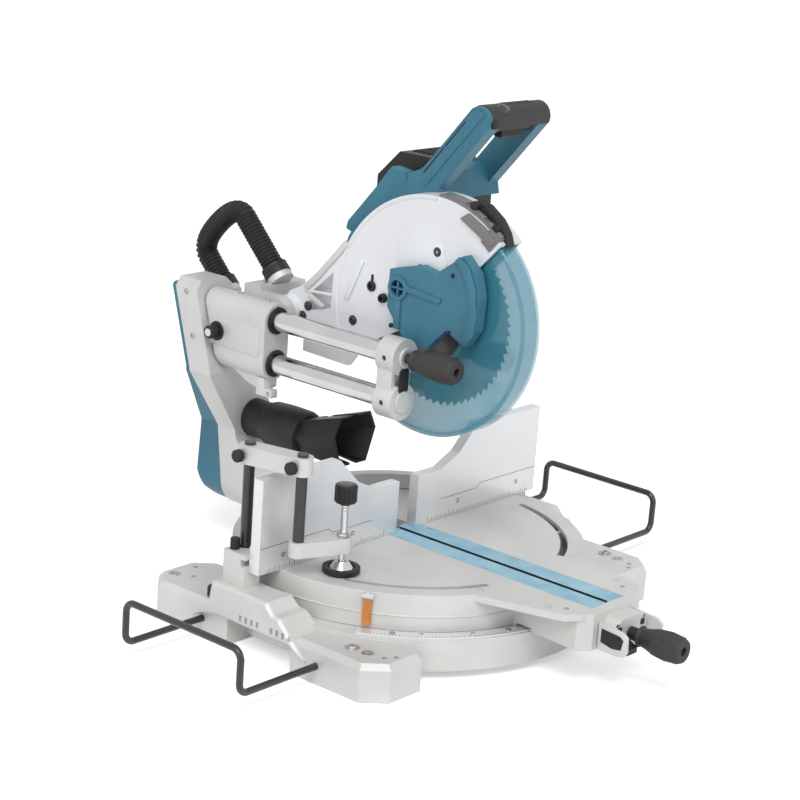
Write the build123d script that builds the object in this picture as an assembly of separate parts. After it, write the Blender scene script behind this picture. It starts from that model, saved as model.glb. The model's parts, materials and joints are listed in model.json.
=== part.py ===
from build123d import *
import math
import os

# Sliding compound mitre saw. Millimetres, +Z up, +X to the user's right, +Y to the rear.
# The origin is on the mitre axis, on the plane that the feet stand on.
# The blade runs in the plane x = 0 and the fences face the user at y = 0.

# Clearances
FIT = 0.05  # radial room of a shaft in its bore
SLIDE_GAP = 0.4  # room between flat faces that slide past each other
TURN_GAP = 0.5  # room under the turntable

# Base
TABLE_Z = 112.0
FLANGE_RIM = 29.0  # how far the base reaches beyond the turntable's drum
FLANGE_Z = 58.0
FLANGE_BOTTOM = 12.0
BASE_WALL = 6.0
BASE_HUB_R = 45.0
BASE_RIBS = 8
FOOT_Z = 54.0
FOOT_CHAMFER = 8.0
FOOT_BEYOND = 60.0  # how far the feet reach beyond the drum
FOOT_WALL = 8.0
FOOT_INNER_X = 205.0
FRONT_FOOT_Y = -240.0
FRONT_FOOT_REAR_Y = -84.0
REAR_FOOT_Y = 214.0
REAR_FOOT_FRONT_Y = 40.0
FOOT_CORNER = 30.0
BLOCK_BEYOND = 67.0
BLOCK_Z = 90.0
BLOCK_ARCH_Z = 42.0
BLOCK_REAR_Y = 70.0
BLOCK_FRONT_Y = -64.0
BENCH_INSET = 38.0
BENCH_Y = 190.0
BENCH_R = 4.5
BOSS_WALL = 8.0  # metal round the bolt holes and the holders' bores
VISE_HOLE_DEPTH = 38.0
VENT_COUNT = 4
VENT_PITCH = 11.0
VENT_SIZE = (4.0, 5.0, 9.0)

# Mitre scale
SCALE_GAP = 8.0  # from the drum to the scale
SCALE_WIDE = 18.0
SCALE_THICK = 2.5
SCALE_HALF_ANGLE = 62.0
SCALE_SCREW_R = 2.0
SCALE_SCREW_ANGLES = (-52.0, -18.0, 18.0, 52.0)

# Turntable
DRUM_R = 268.0
REAR_REACH = 236.0  # how far the round castings reach behind the mitre axis
REAR_SHIFT = 75.0
DRUM_WALL = 7.0
DRUM_RIB = 6.0
PLATE = 7.0
TURN_ROOM = 18.0  # from the drum to the blocks that stand beside it
PIVOT_R = 10.0
PIVOT_HEAD_R = 16.0
HUB_R = 34.0
HUB_TOP = 98.0
FRONT_ARM_Y = -389.0
FRONT_ARM_HALF = 70.0
FRONT_ARM_WAIST = 64.0
FRONT_ARM_WAIST_Y = -292.0
FRONT_ARM_WALL = 7.0
TABLE_NOSE = ((130.0, -225.0), (104.0, -310.0), (88.0, -362.0), (66.0, -379.0), (30.0, -389.0))
KERF_SLOT_HALF = 28.0
KERF_FRONT_Y = -372.0
KERF_REAR_Y = 80.0
BOARD_HALF = 38.0
BOARD_GAP_HALF = 4.0
BOARD_THICK = 3.5
BOARD_REAR_Y = 18.0
BOARD_SCREW_R = 2.0
BOARD_HEAD_DEEP = 1.8
BOARD_SCREW_YS = (-345.0, -180.0, -20.0)
TABLE_SLOT_R = 232.0
TABLE_SLOT_WIDE = 11.0
POINTER_ANGLE = 60.0
POINTER_WIDE = 13.0
POINTER_THICK = 5.0

# Fences
FENCE_THICK = 19.0
UPPER_FENCE_THICK = 17.0
FENCE_OUT_X = 312.0
FENCE_TOP_Z = 251.0
FENCE_STEP_Z = 151.0
FENCE_LOW_Z = 144.0
FENCE_IN_X = 22.0
FENCE_FOOT_X = 28.0
FENCE_FLAT_X = 79.0
FENCE_LEDGE_X = 74.0
FENCE_LEDGE_DROP = 59.0
FENCE_SLOPE_X = 115.0
FENCE_SLOPE_DROP = 40.0
FENCE_PEAK_X = 156.0
FENCE_STEP_X = 172.0
RAIL_DEPTH = 20.0
RAIL_TOP_Z = 138.0
RAIL_IN_X = 60.0
RAIL_BEYOND = 52.0
BOW_IN_R = 192.0
BOW_OUT_R = 210.0
BOW_TOP_Z = 136.0
TONGUE_IN_X = 90.0
TONGUE_OUT_X = 205.0
TONGUE_DEPTH = 8.0
TONGUE_Z = (121.0, 130.0)
FENCE_LEG_BEYOND = 21.0
FENCE_LEG_DEPTH = 42.0
CLAMP_BEYOND = 41.0
CLAMP_Y = 51.0

# Work holders
WIRE_R = 5.0
WIRE_BEND = 15.0
HOLDER_FRONT_Y = -131.0
HOLDER_REAR_Y = 90.0
HOLDER_Z = 26.0
HOLDER_RISE = 62.0
HOLDER_OUT_X = 473.0
HOLDER_RIGHT_SHIFT = 30.0  # the right frame sits further back and further out
HOLDER_RIGHT_OUT = 40.0
HOLDER_IN_X = 212.0
HOLDER_KNOB_BEYOND = 37.0
HOLDER_KNOB_R = 11.0

# Vise
VISE_POST_BEYOND = 22.0
VISE_POST_Y = 50.0
VISE_POST_R = 8.0
VISE_POST_TOP = 292.0
VISE_ROD_FROM_POST = (18.0, -84.0)
VISE_ROD_R = 8.0
VISE_SCREW_FROM_POST = (82.0, -110.0)
VISE_SCREW_R = 5.0
VISE_BRACKET_Z = 262.0
VISE_BRACKET_TALL = 26.0
VISE_ARM_Z = 143.0
VISE_ARM_TALL = 22.0
VISE_BOSS_R = 15.0
VISE_KNOB_R = 16.0
VISE_KNOB_TALL = 26.0
VISE_KNOB_Z = 216.0
VISE_PAD_R = 27.0
VISE_PAD_LIFT = 2.0
VISE_PAD_TALL = 7.0

# Mitre lock
GRIP_Z = 80.0
LOCK_ROD_R = 8.0
HOUSING_HALF = 38.0
HOUSING_FRONT_Y = -414.0
GRIP_START_Y = -432.0
GRIP_END_Y = -502.0
GRIP_R = 21.0
GRIP_NECK_R = 13.0
LATCH_X = -24.0
LATCH_WIDE = 22.0
LATCH_PIN_R = 3.0
LATCH_PIN_REACH = 2.5

# Bevel arm
BEVEL_PIN_R = 14.0
BEVEL_HUB_R = 50.0
BEVEL_HUB_Y = 285.0
BEVEL_HUB_REAR_Y = 345.0
ARM_TOP_Z = 436.0
ARM_TOP_FRONT_Y = 352.0
ARM_TOP_REAR_Y = 398.0
ARM_SHOULDER_Z = 300.0
ARM_LEAN = 42.0  # how far the arm leans back between its shoulder and its top
COVER_THICK = 9.0
COVER_BELLY = 56.0
REAR_COVER_WALL = 4.0
POLE_WALL = 9.0  # metal behind a pole in the arm
POLE_X = -80.0
POLE_UPPER_Z = 400.0
POLE_LOWER_Z = 334.0
POLE_R = 15.0
POLE_BORE_R = 10.0
POLE_FRONT_Y = -28.0
POLE_SEAT = 12.0  # metal around a pole in the arm and the bracket
BRACKET_REAR_Y = -8.0
BRACKET_FRONT_Y = -42.0
BEVEL_SHAFT_R = 7.0
BEVEL_KNOB_R = 21.0
BEVEL_KNOB_START_Y = -60.0
BEVEL_KNOB_END_Y = -137.0

# Dust scoop and hose
SCOOP_MOUTH_Y = 114.0
SCOOP_NECK_Y = 190.0
SCOOP_REAR_Y = 330.0
SCOOP_TUBE_X = -20.0
SCOOP_TUBE_Z = 216.0
SCOOP_TUBE_R = 30.0
SCOOP_WALL = 3.0
SCOOP_SLOT_HALF = 7.0
SCOOP_MIDDLE_Z = 228.0
SCOOP_MOUTH_HALF = 34.0
SCOOP_MOUTH = ((-48.0, 236.0), (-34.0, 264.0), (34.0, 264.0), (48.0, 236.0), (30.0, 185.0), (-30.0, 185.0))
HOSE_X = -16.0
HOSE_R = 17.0
HOSE_BORE_R = 13.0
HOSE_RIB = 1.8
HOSE_RIB_PITCH = 5.2
HOSE_BEND_R = 54.1
HOSE_LEAN = 45.0
HOSE_FRONT_LEG = 80.0
HOSE_REAR_LEG = 34.0
HOSE_START_Y = 276.0
HOSE_LIFT = 14.0  # from the arm's top to the middle of the hose's front end
HOSE_SOCKET_R = 20.0
HOSE_SOCKET_LONG = 12.0
HOSE_WEB_DEEP = 18.0
HOSE_WEB_LAP = 2.0

# Carriage
CARRIAGE_FRONT_Y = 212.0
CARRIAGE_GAP = 4.0  # room between the carriage and the arm
CARRIAGE_SHELL = 11.0  # metal around a pole in the carriage
BEARING_R = 19.0
BEARING_LONG = 30.0
HEAD_PIVOT_Y = 236.0
HEAD_PIVOT_Z = 405.0
HEAD_PIN_R = 12.0
LUG_R = 25.0
LUG_IN_X = -44.0
LUG_OUT_X = 24.0
LUG_THICK = 13.0
BRIDGE_FRONT_Y = 268.0
BRIDGE_REAR_Y = 302.0
SLIDE_LOCK_Y = 311.0
REAR_BEARING_Y = 274.0

# Saw head
BLADE_Y = -34.0
BLADE_Z = 447.0
BLADE_R = 130.0
BLADE_THICK = 2.3
BLADE_BORE_R = 15.0
BLADE_TEETH = 60
TOOTH_DEPTH = 6.0
CASE_LEFT_X = -29.0
CASE_RIGHT_X = 19.0
CASE_WALL = 4.0
CASE_R = 180.0
CASE_RIM = 5.0
CASE_FROM = -28.0  # angles on the blade, counted from the rear towards the top
CASE_TO = 133.0
BOSS_R = 40.0
BOSS_LEFT_X = 8.6
COVER_LEFT_X = -46.0
COVER_WALL = 3.0
COVER_HOLE = (43.0, 40.0)  # from the blade axis
COVER_HOLE_R = 12.0
COVER_OUTLINE = (  # from the blade axis, starting at the rear and going over the top
    (62.0, 9.0),
    (61.0, 65.0),
    (6.0, 80.0),
    (-24.0, 74.0),
    (-72.0, 109.0),
    (-96.0, 88.0),
    (-106.0, 55.0),
    (-104.0, 8.0),
    (-86.0, -20.0),
    (-50.0, -3.0),
    (-30.0, -23.0),
    (-16.0, -39.0),
    (29.0, -30.0),
)
TOP_COVER_FROM = 92.0
TOP_COVER_TO = 131.0
TOP_COVER_THICK = 4.0
GUARD_R = 172.0
GUARD_LEFT_X = -22.5
GUARD_RIGHT_X = 11.5
GUARD_WALL = 2.5
GUARD_WINDOW_R = 62.0
GUARD_HUB_R = 54.0
GUARD_FROM = 128.0
GUARD_TO = 300.0
SPINDLE_R = 9.0
FLANGE_PLATE_R = 30.0
MOTOR_REACH = 172.0  # from the blade axis to the motor axis
MOTOR_ANGLE = 47.5
MOTOR_R = 55.0
MOTOR_WALL = 5.0
MOTOR_START_X = 46.0
MOTOR_SPLIT_X = 66.0
MOTOR_END_X = 176.0
MOTOR_COVER_HALF = 70.0
MOTOR_COVER_SHIFT = (8.0, 15.0)
MOTOR_VENTS = 9
BELT_WALL = 3.0
BELT_END_R = 40.0
BELT_MOTOR_R = 26.0
BELT_FAN = 85.0
BELT_LEFT_X = 26.0
BELT_RIGHT_X = 38.0
BELT_THICK = 3.0
SPINDLE_PULLEY_R = 27.0
MOTOR_PULLEY_R = 18.0
ROTOR_SHAFT_R = 7.0
ROTOR_R = 31.0
AIR_GAP = 1.0
SMALL_BEARING_R = 16.0
LARGE_BEARING_R = 20.0
BELT_GAP = 0.3

# Handle
GRIP_BAR_Y = -78.0
GRIP_BAR_Z = 738.0
GRIP_BAR_R = 18.0
HANDLE_LEFT_X = -2.0
HANDLE_RIGHT_X = 136.0
HANDLE_ARM = 24.0
HANDLE_FOOT = (12.0, 630.0)
HANDLE_ARM_R = 20.0
HANDLE_BEAM_Y = (-18.0, 44.0)
HANDLE_BEAM_TOP = 660.0
TRIGGER_X = (44.0, 92.0)
TRIGGER_WIDE = 14.0
TRIGGER_PROUD = 9.0
TRIGGER_DEEP = 12.0
BUTTON_R = 7.0
SHAFT_LOCK_R = 6.0

# Derived sizes
BOLT_HEAD = 2.0
TURN_BOTTOM = FLANGE_Z + TURN_GAP
MOTOR_Y = BLADE_Y + MOTOR_REACH * math.cos(math.radians(MOTOR_ANGLE))
MOTOR_Z = BLADE_Z + MOTOR_REACH * math.sin(math.radians(MOTOR_ANGLE))
BOSS_START_Y = BOW_OUT_R + 10
VISE_PAD_Z = TABLE_Z + VISE_PAD_LIFT
RAIL_Y = FENCE_THICK + SLIDE_GAP
FLANGE_R = DRUM_R + FLANGE_RIM
TURN_CLEAR_R = DRUM_R + TURN_ROOM
SCALE_IN_R = DRUM_R + SCALE_GAP
SCALE_OUT_R = SCALE_IN_R + SCALE_WIDE
FOOT_OUTER_X = DRUM_R + FOOT_BEYOND
BLOCK_OUTER_X = DRUM_R + BLOCK_BEYOND
BENCH_X = FOOT_OUTER_X - BENCH_INSET
RAIL_OUT_X = DRUM_R + RAIL_BEYOND
FENCE_LEG_IN_X = DRUM_R + FENCE_LEG_BEYOND
CLAMP_X = DRUM_R + CLAMP_BEYOND
HOLDER_KNOB_X = DRUM_R + HOLDER_KNOB_BEYOND
VISE_POST = (-DRUM_R - VISE_POST_BEYOND, VISE_POST_Y)
VISE_ROD = (VISE_POST[0] + VISE_ROD_FROM_POST[0], VISE_POST[1] + VISE_ROD_FROM_POST[1])
VISE_SCREW = (VISE_POST[0] + VISE_SCREW_FROM_POST[0], VISE_POST[1] + VISE_SCREW_FROM_POST[1])
LATCH_PIN = (HOUSING_FRONT_Y + 6, TABLE_Z - 38)


# Helpers: bodies drawn across one axis

def prism_x(points, x0, x1):
    """A body with the (y, z) outline, from x0 to x1."""
    face = make_face(Polyline(*points, close=True))
    return extrude(Plane.YZ.offset(x0) * face, x1 - x0)


def prism_y(points, y0, y1):
    """A body with the (x, z) outline, from y0 to y1."""
    plane = Plane(origin=(0, y1, 0), x_dir=(1, 0, 0), z_dir=(0, -1, 0))
    face = make_face(Polyline(*points, close=True))
    return extrude(plane * face, y1 - y0)


def prism_z(points, z0, z1):
    """A body with the (x, y) outline, from z0 to z1."""
    face = make_face(Polyline(*points, close=True))
    return extrude(Plane.XY.offset(z0) * face, z1 - z0)


def box(x0, x1, y0, y1, z0, z1):
    return Pos((x0 + x1) / 2, (y0 + y1) / 2, (z0 + z1) / 2) * Box(x1 - x0, y1 - y0, z1 - z0)


def rod_x(x0, x1, y, z, r):
    return Pos((x0 + x1) / 2, y, z) * Rot(0, 90, 0) * Cylinder(r, x1 - x0)


def rod_y(y0, y1, x, z, r):
    return Pos(x, (y0 + y1) / 2, z) * Rot(90, 0, 0) * Cylinder(r, y1 - y0)


def rod_z(z0, z1, x, y, r):
    return Pos(x, y, (z0 + z1) / 2) * Cylinder(r, z1 - z0)


def turned_y(profile, x, z):
    """A body of revolution about a line along Y, from (y, radius) points."""
    first, last = profile[0], profile[-1]
    outline = [(first[0], 0.0), *profile, (last[0], 0.0)]
    face = make_face(Polyline(*outline, close=True))
    solid = revolve(Plane.XY * face, Axis.X)
    return Pos(x, 0, z) * Rot(0, 0, 90) * solid


def polar(radius, degrees, y=BLADE_Y, z=BLADE_Z):
    """A point (y, z) about the blade axis, the angle counted from the rear towards the top."""
    turn = math.radians(degrees)
    return (y + radius * math.cos(turn), z + radius * math.sin(turn))


def sector_x(r_in, r_out, start, end, x0, x1):
    """Part of a ring about the blade axis, from one angle to another."""
    middle = (start + end) / 2
    outer = ThreePointArc(polar(r_out, start), polar(r_out, middle), polar(r_out, end))
    inner = ThreePointArc(polar(r_in, end), polar(r_in, middle), polar(r_in, start))
    sides = [Line(polar(r_out, end), polar(r_in, end)), Line(polar(r_in, start), polar(r_out, start))]
    face = make_face([outer, sides[0], inner, sides[1]])
    return extrude(Plane.YZ.offset(x0) * face, x1 - x0)


def forward(radius, degrees):
    """A point (x, y) about the mitre axis, the angle counted from the front towards the right."""
    turn = math.radians(degrees)
    return (radius * math.sin(turn), -radius * math.cos(turn))


def sector_z(r_in, r_out, start, end, z0, z1):
    """Part of a ring about the mitre axis, angles counted from the front towards the right."""
    middle = (start + end) / 2
    outer = ThreePointArc(forward(r_out, start), forward(r_out, middle), forward(r_out, end))
    inner = ThreePointArc(forward(r_in, end), forward(r_in, middle), forward(r_in, start))
    sides = [Line(forward(r_out, end), forward(r_in, end)), Line(forward(r_in, start), forward(r_out, start))]
    face = make_face([outer, sides[0], inner, sides[1]])
    return extrude(Plane.XY.offset(z0) * face, z1 - z0)


def loop_x(y0, z0, r0, y1, z1, r1, x0, x1):
    """The body that a belt round two circles encloses."""
    edges = (Pos(y0, z0) * Circle(r0)).edges() + (Pos(y1, z1) * Circle(r1)).edges()
    return extrude(Plane.YZ.offset(x0) * make_hull(edges), x1 - x0)


def belt_loop(grow, x0, x1):
    """The drive's outline, grown outwards from the pulleys."""
    spindle_r = SPINDLE_PULLEY_R + grow
    motor_r = MOTOR_PULLEY_R + grow
    return loop_x(BLADE_Y, BLADE_Z, spindle_r, MOTOR_Y, MOTOR_Z, motor_r, x0, x1)


def trimmed_disc(radius, inset, z0, z1):
    """A disc about the mitre axis, flattened towards the rear."""
    disc = rod_z(z0, z1, 0, 0, radius - inset)
    return disc & rod_z(z0, z1, 0, -REAR_SHIFT, REAR_REACH + REAR_SHIFT - inset)


def bar_z(start, end, half, z0, z1):
    """A round-ended bar between two upright lines."""
    edges = (Pos(*start) * Circle(half)).edges() + (Pos(*end) * Circle(half)).edges()
    return extrude(Plane.XY.offset(z0) * make_hull(edges), z1 - z0)


def fluted_knob(radius, tall, flutes):
    """A hand knob standing on the origin, with grooves round its side."""
    knob = Pos(0, 0, tall / 2) * Cylinder(radius, tall)
    knob = chamfer(knob.edges().filter_by(GeomType.CIRCLE), radius * 0.12)
    groove = radius * 0.16
    for index in range(flutes):
        turn = Rot(0, 0, 360 * index / flutes)
        knob -= turn * Pos(radius + groove * 0.4, 0, tall / 2) * Cylinder(groove, tall)
    return knob


def both_sides(shape):
    return shape + mirror(shape, Plane.YZ)


# Base

def foot_outline(front, inset):
    """A left foot seen from above, drawn in by a wall."""
    inner, outer, corner = -FOOT_INNER_X - inset, inset - FOOT_OUTER_X, FOOT_CORNER
    if front:
        near, far, step = FRONT_FOOT_REAR_Y - inset, FRONT_FOOT_Y + inset, corner
    else:
        near, far, step = REAR_FOOT_FRONT_Y + inset, REAR_FOOT_Y - inset, -corner
    return [
        (inner, near),
        (outer, near),
        (outer, far + step),
        (outer + corner, far),
        (inner - corner, far),
        (inner, far + step),
    ]


def left_foot(front):
    """A foot, hollow from below."""
    foot = prism_z(foot_outline(front, 0), 0, FOOT_Z)
    foot = chamfer(foot.faces().sort_by(Axis.Z)[-1].edges(), FOOT_CHAMFER)
    return foot - prism_z(foot_outline(front, FOOT_WALL), -1, FOOT_Z - FOOT_WALL)


def left_block():
    """The arched block between the feet, which carries the fence and the vise."""
    outline = [
        (BLOCK_REAR_Y + 40, BLOCK_ARCH_Z - 16),
        (BLOCK_REAR_Y + 6, FOOT_Z),
        (BLOCK_REAR_Y, BLOCK_Z),
        (BLOCK_FRONT_Y + 26, BLOCK_Z),
        (BLOCK_FRONT_Y + 12, BLOCK_Z - 14),
        (BLOCK_FRONT_Y, BLOCK_Z - 16),
        (BLOCK_FRONT_Y - 20, FOOT_Z),
        (BLOCK_FRONT_Y - 50, BLOCK_ARCH_Z - 16),
        (BLOCK_FRONT_Y - 16, BLOCK_ARCH_Z),
        (BLOCK_REAR_Y - 8, BLOCK_ARCH_Z),
    ]
    block = prism_x(outline, -BLOCK_OUTER_X, -FOOT_INNER_X)
    block = chamfer(block.edges().group_by(Axis.X)[0], 4)
    deep, wide, tall = VENT_SIZE
    for group in (1, -1):
        for index in range(VENT_COUNT):
            y = -38 + group * 30 + (index - 1.5) * VENT_PITCH
            x = -BLOCK_OUTER_X
            low = BLOCK_ARCH_Z + 6
            block -= box(x - 1, x + deep, y - wide / 2, y + wide / 2, low, low + tall)
    block -= rod_z(TURN_BOTTOM - TURN_GAP, TABLE_Z, 0, 0, TURN_CLEAR_R)
    return block


def base_casting():
    body = trimmed_disc(FLANGE_R, 0, FLANGE_BOTTOM, FLANGE_Z)
    body -= trimmed_disc(FLANGE_R, BASE_WALL, FLANGE_BOTTOM, FLANGE_Z - BASE_WALL)
    body += rod_z(FLANGE_BOTTOM + 8, FLANGE_Z, 0, 0, BASE_HUB_R)
    for index in range(BASE_RIBS):
        rib = box(BASE_HUB_R - 5, FLANGE_R, -4, 4, FLANGE_BOTTOM + 8, FLANGE_Z - 2)
        inside = trimmed_disc(FLANGE_R, BASE_WALL - 2, FLANGE_BOTTOM, FLANGE_Z)
        body += (Rot(0, 0, 360 * (index + 0.5) / BASE_RIBS) * rib) & inside
    left = left_foot(True) + left_foot(False) + left_block()
    body += both_sides(left)
    for side, shift in ((1, HOLDER_RIGHT_SHIFT), (-1, 0)):
        knob = (side * HOLDER_KNOB_X, HOLDER_REAR_Y + shift)
        body += rod_z(HOLDER_Z, FOOT_Z - 2, *knob, BOSS_WALL)
        for y in (HOLDER_FRONT_Y + shift, HOLDER_REAR_Y + shift):
            ends = sorted((side * (FOOT_INNER_X + 2), side * (FOOT_OUTER_X - 2)))
            body += rod_x(*ends, y, HOLDER_Z, WIRE_R + BOSS_WALL)
            ends = sorted((side * (HOLDER_IN_X - 8), side * (BLOCK_OUTER_X + 2)))
            body -= rod_x(*ends, y, HOLDER_Z, WIRE_R + FIT)
        for y in (BENCH_Y, -BENCH_Y):
            body += rod_z(0, FOOT_Z - 2, side * BENCH_X, y, BENCH_R + BOSS_WALL)
            body -= rod_z(-1, FOOT_Z + 1, side * BENCH_X, y, BENCH_R)
        body -= rod_z(HOLDER_Z, FOOT_Z + 1, *knob, 3)
        hole = (BLOCK_Z - VISE_HOLE_DEPTH, BLOCK_Z + 1)
        body -= rod_z(*hole, side * VISE_POST[0], VISE_POST[1], VISE_POST_R + FIT)
    body -= rod_z(FLANGE_BOTTOM - 1, FLANGE_Z + 1, 0, 0, PIVOT_R)
    for angle in SCALE_SCREW_ANGLES:
        x, y = forward((SCALE_IN_R + SCALE_OUT_R) / 2, angle)
        body -= rod_z(FLANGE_Z - BASE_WALL + 2, FLANGE_Z + 1, x, y, SCALE_SCREW_R)
    return body


def mitre_scale_plate():
    half = SCALE_HALF_ANGLE
    plate = sector_z(SCALE_IN_R, SCALE_OUT_R, -half, half, FLANGE_Z, FLANGE_Z + SCALE_THICK)
    for angle in SCALE_SCREW_ANGLES:
        x, y = forward((SCALE_IN_R + SCALE_OUT_R) / 2, angle)
        plate -= rod_z(FLANGE_Z - 1, FLANGE_Z + SCALE_THICK + 1, x, y, SCALE_SCREW_R)
    return plate


def scale_screws():
    screws = []
    top = FLANGE_Z + SCALE_THICK
    for angle in SCALE_SCREW_ANGLES:
        x, y = forward((SCALE_IN_R + SCALE_OUT_R) / 2, angle)
        screw = rod_z(FLANGE_Z - BASE_WALL + 2, top, x, y, SCALE_SCREW_R)
        screws.append(screw + rod_z(top, top + BOLT_HEAD, x, y, 2 * SCALE_SCREW_R))
    return screws


def pivot_bolt():
    seat = HUB_TOP - 10
    bolt = rod_z(FLANGE_BOTTOM + 8, seat, 0, 0, PIVOT_R)
    bolt += rod_z(seat, seat + 8, 0, 0, PIVOT_HEAD_R)
    nut = extrude(Plane.XY.offset(FLANGE_BOTTOM - 2) * RegularPolygon(PIVOT_R + 7, 6), 10)
    return bolt + nut


# Fences

def fence_base():
    half_bow = sector_z(BOW_IN_R, BOW_OUT_R, 90, 270, TABLE_Z + 1, BOW_TOP_Z)
    half_bow &= box(-BOW_OUT_R, BOW_OUT_R, RAIL_Y, BOW_OUT_R + 1, 0, FENCE_TOP_Z)
    rail = box(RAIL_IN_X, RAIL_OUT_X, RAIL_Y, RAIL_Y + RAIL_DEPTH, TABLE_Z + 1, RAIL_TOP_Z)
    rail += box(FENCE_LEG_IN_X, RAIL_OUT_X, RAIL_Y, RAIL_Y + FENCE_LEG_DEPTH, BLOCK_Z, RAIL_TOP_Z)
    groove_z = (TONGUE_Z[0] - SLIDE_GAP, TONGUE_Z[1] + SLIDE_GAP)
    rail -= rod_z(RAIL_TOP_Z - 30, RAIL_TOP_Z + 1, CLAMP_X, CLAMP_Y, 3)
    rail -= rod_z(0, VISE_BRACKET_Z, -VISE_POST[0], VISE_POST[1], VISE_POST_R + 2)
    groove = box(RAIL_IN_X - 1, RAIL_OUT_X + 1, RAIL_Y - 1, RAIL_Y + TONGUE_DEPTH + SLIDE_GAP, *groove_z)
    return half_bow + both_sides(rail) - both_sides(groove)


def fence_clamps():
    screw = rod_z(RAIL_TOP_Z - 30, RAIL_TOP_Z, CLAMP_X, CLAMP_Y, 3)
    screw += Pos(CLAMP_X, CLAMP_Y, RAIL_TOP_Z) * fluted_knob(7, 16, 6)
    return [screw, mirror(screw, Plane.YZ)]


def lower_fence():
    """The right lower fence: it slides along the rail on a tongue."""
    low = TABLE_Z + SLIDE_GAP
    outline = [
        (FENCE_FOOT_X, low),
        (FENCE_FLAT_X, FENCE_LOW_Z),
        (FENCE_STEP_X - 8, FENCE_LOW_Z),
        (FENCE_STEP_X, FENCE_STEP_Z),
        (FENCE_OUT_X, FENCE_STEP_Z),
        (FENCE_OUT_X, low),
    ]
    body = prism_y(outline, 0, FENCE_THICK)
    tongue = box(TONGUE_IN_X, TONGUE_OUT_X, FENCE_THICK - 1, RAIL_Y + TONGUE_DEPTH, *TONGUE_Z)
    return body + tongue


def upper_fence():
    """The right upper fence, which stands on the lower one and slopes down to the blade."""
    low = TABLE_Z + SLIDE_GAP
    outline = [
        (FENCE_IN_X, low),
        (FENCE_FOOT_X, low),
        (FENCE_FLAT_X, FENCE_LOW_Z),
        (FENCE_STEP_X - 8, FENCE_LOW_Z),
        (FENCE_STEP_X, FENCE_STEP_Z),
        (FENCE_OUT_X, FENCE_STEP_Z),
        (FENCE_OUT_X, FENCE_TOP_Z),
        (FENCE_PEAK_X, FENCE_TOP_Z),
        (FENCE_SLOPE_X, FENCE_TOP_Z - FENCE_SLOPE_DROP),
        (FENCE_LEDGE_X, FENCE_TOP_Z - FENCE_LEDGE_DROP),
        (FENCE_IN_X, FENCE_TOP_Z - FENCE_LEDGE_DROP),
    ]
    return prism_y(outline, 0, UPPER_FENCE_THICK)


# Work holders

def work_holder(side, shift, out):
    """A wire frame: two prongs slide in the base and a raised bar joins them."""
    top = HOLDER_Z + HOLDER_RISE
    front, rear = HOLDER_FRONT_Y + shift, HOLDER_REAR_Y + shift
    inner, outer = side * (HOLDER_IN_X + out), side * (HOLDER_OUT_X + out)
    route = FilletPolyline(
        (inner, front, HOLDER_Z),
        (outer, front, HOLDER_Z),
        (outer, front, top),
        (outer, rear, top),
        (outer, rear, HOLDER_Z),
        (inner, rear, HOLDER_Z),
        radius=WIRE_BEND,
    )
    start = Plane(origin=(inner, front, HOLDER_Z), z_dir=(side, 0, 0))
    return sweep(start * Circle(WIRE_R), path=route)


def holder_knobs():
    knobs = []
    for side, shift in ((1, HOLDER_RIGHT_SHIFT), (-1, 0)):
        x, y = side * HOLDER_KNOB_X, HOLDER_REAR_Y + shift
        knob = rod_z(HOLDER_Z + WIRE_R + 0.2, FOOT_Z, x, y, 3)
        knobs.append(knob + Pos(x, y, FOOT_Z) * fluted_knob(HOLDER_KNOB_R, 15, 7))
    return knobs


# Vise

def vise_post():
    return rod_z(BLOCK_Z - VISE_HOLE_DEPTH + 2, VISE_POST_TOP, *VISE_POST, VISE_POST_R)


def vise_bracket():
    top = VISE_BRACKET_Z + VISE_BRACKET_TALL
    body = bar_z(VISE_POST, VISE_ROD, VISE_BOSS_R, VISE_BRACKET_Z, top)
    body -= rod_z(VISE_BRACKET_Z - 1, top + 1, *VISE_POST, VISE_POST_R + FIT)
    body -= rod_z(VISE_BRACKET_Z - 1, top + 1, *VISE_ROD, VISE_ROD_R + FIT)
    middle = VISE_BRACKET_Z + VISE_BRACKET_TALL / 2
    for x, y in (VISE_POST, VISE_ROD):
        body -= rod_x(x - VISE_BOSS_R - 1, x, y, middle, 3)
    return body


def vise_clamp_screws():
    screws = []
    middle = VISE_BRACKET_Z + VISE_BRACKET_TALL / 2
    for (x, y), hole_r in ((VISE_POST, VISE_POST_R), (VISE_ROD, VISE_ROD_R)):
        seat = x - VISE_BOSS_R - 3
        screw = rod_x(seat, x - hole_r - 0.2, y, middle, 3)
        knob = Pos(seat, y, middle) * Rot(0, -90, 0) * fluted_knob(9, 10, 6)
        screws.append(screw + knob)
    return screws


def vise_rod():
    bottom = VISE_ARM_Z + 2
    return rod_z(bottom, VISE_BRACKET_Z + VISE_BRACKET_TALL + 4, *VISE_ROD, VISE_ROD_R)


def vise_arm():
    top = VISE_ARM_Z + VISE_ARM_TALL
    body = bar_z(VISE_ROD, VISE_SCREW, VISE_BOSS_R - 2, VISE_ARM_Z, top)
    body -= rod_z(VISE_ARM_Z + 2, top + 1, *VISE_ROD, VISE_ROD_R)
    body -= rod_z(VISE_ARM_Z - 1, top + 1, *VISE_SCREW, VISE_SCREW_R + FIT)
    return body


def vise_pad():
    x, y = VISE_SCREW
    top = VISE_PAD_Z + VISE_PAD_TALL
    pad = rod_z(VISE_PAD_Z, top, x, y, VISE_PAD_R)
    pad -= rod_z(VISE_PAD_Z + 4, top + 1, x, y, VISE_PAD_R - 8)
    pad += Pos(x, y, top + 2) * Cone(VISE_PAD_R - 9, 9, 12)
    pad -= rod_z(top - 1, top + 9, x, y, VISE_SCREW_R + FIT)
    return pad


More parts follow.
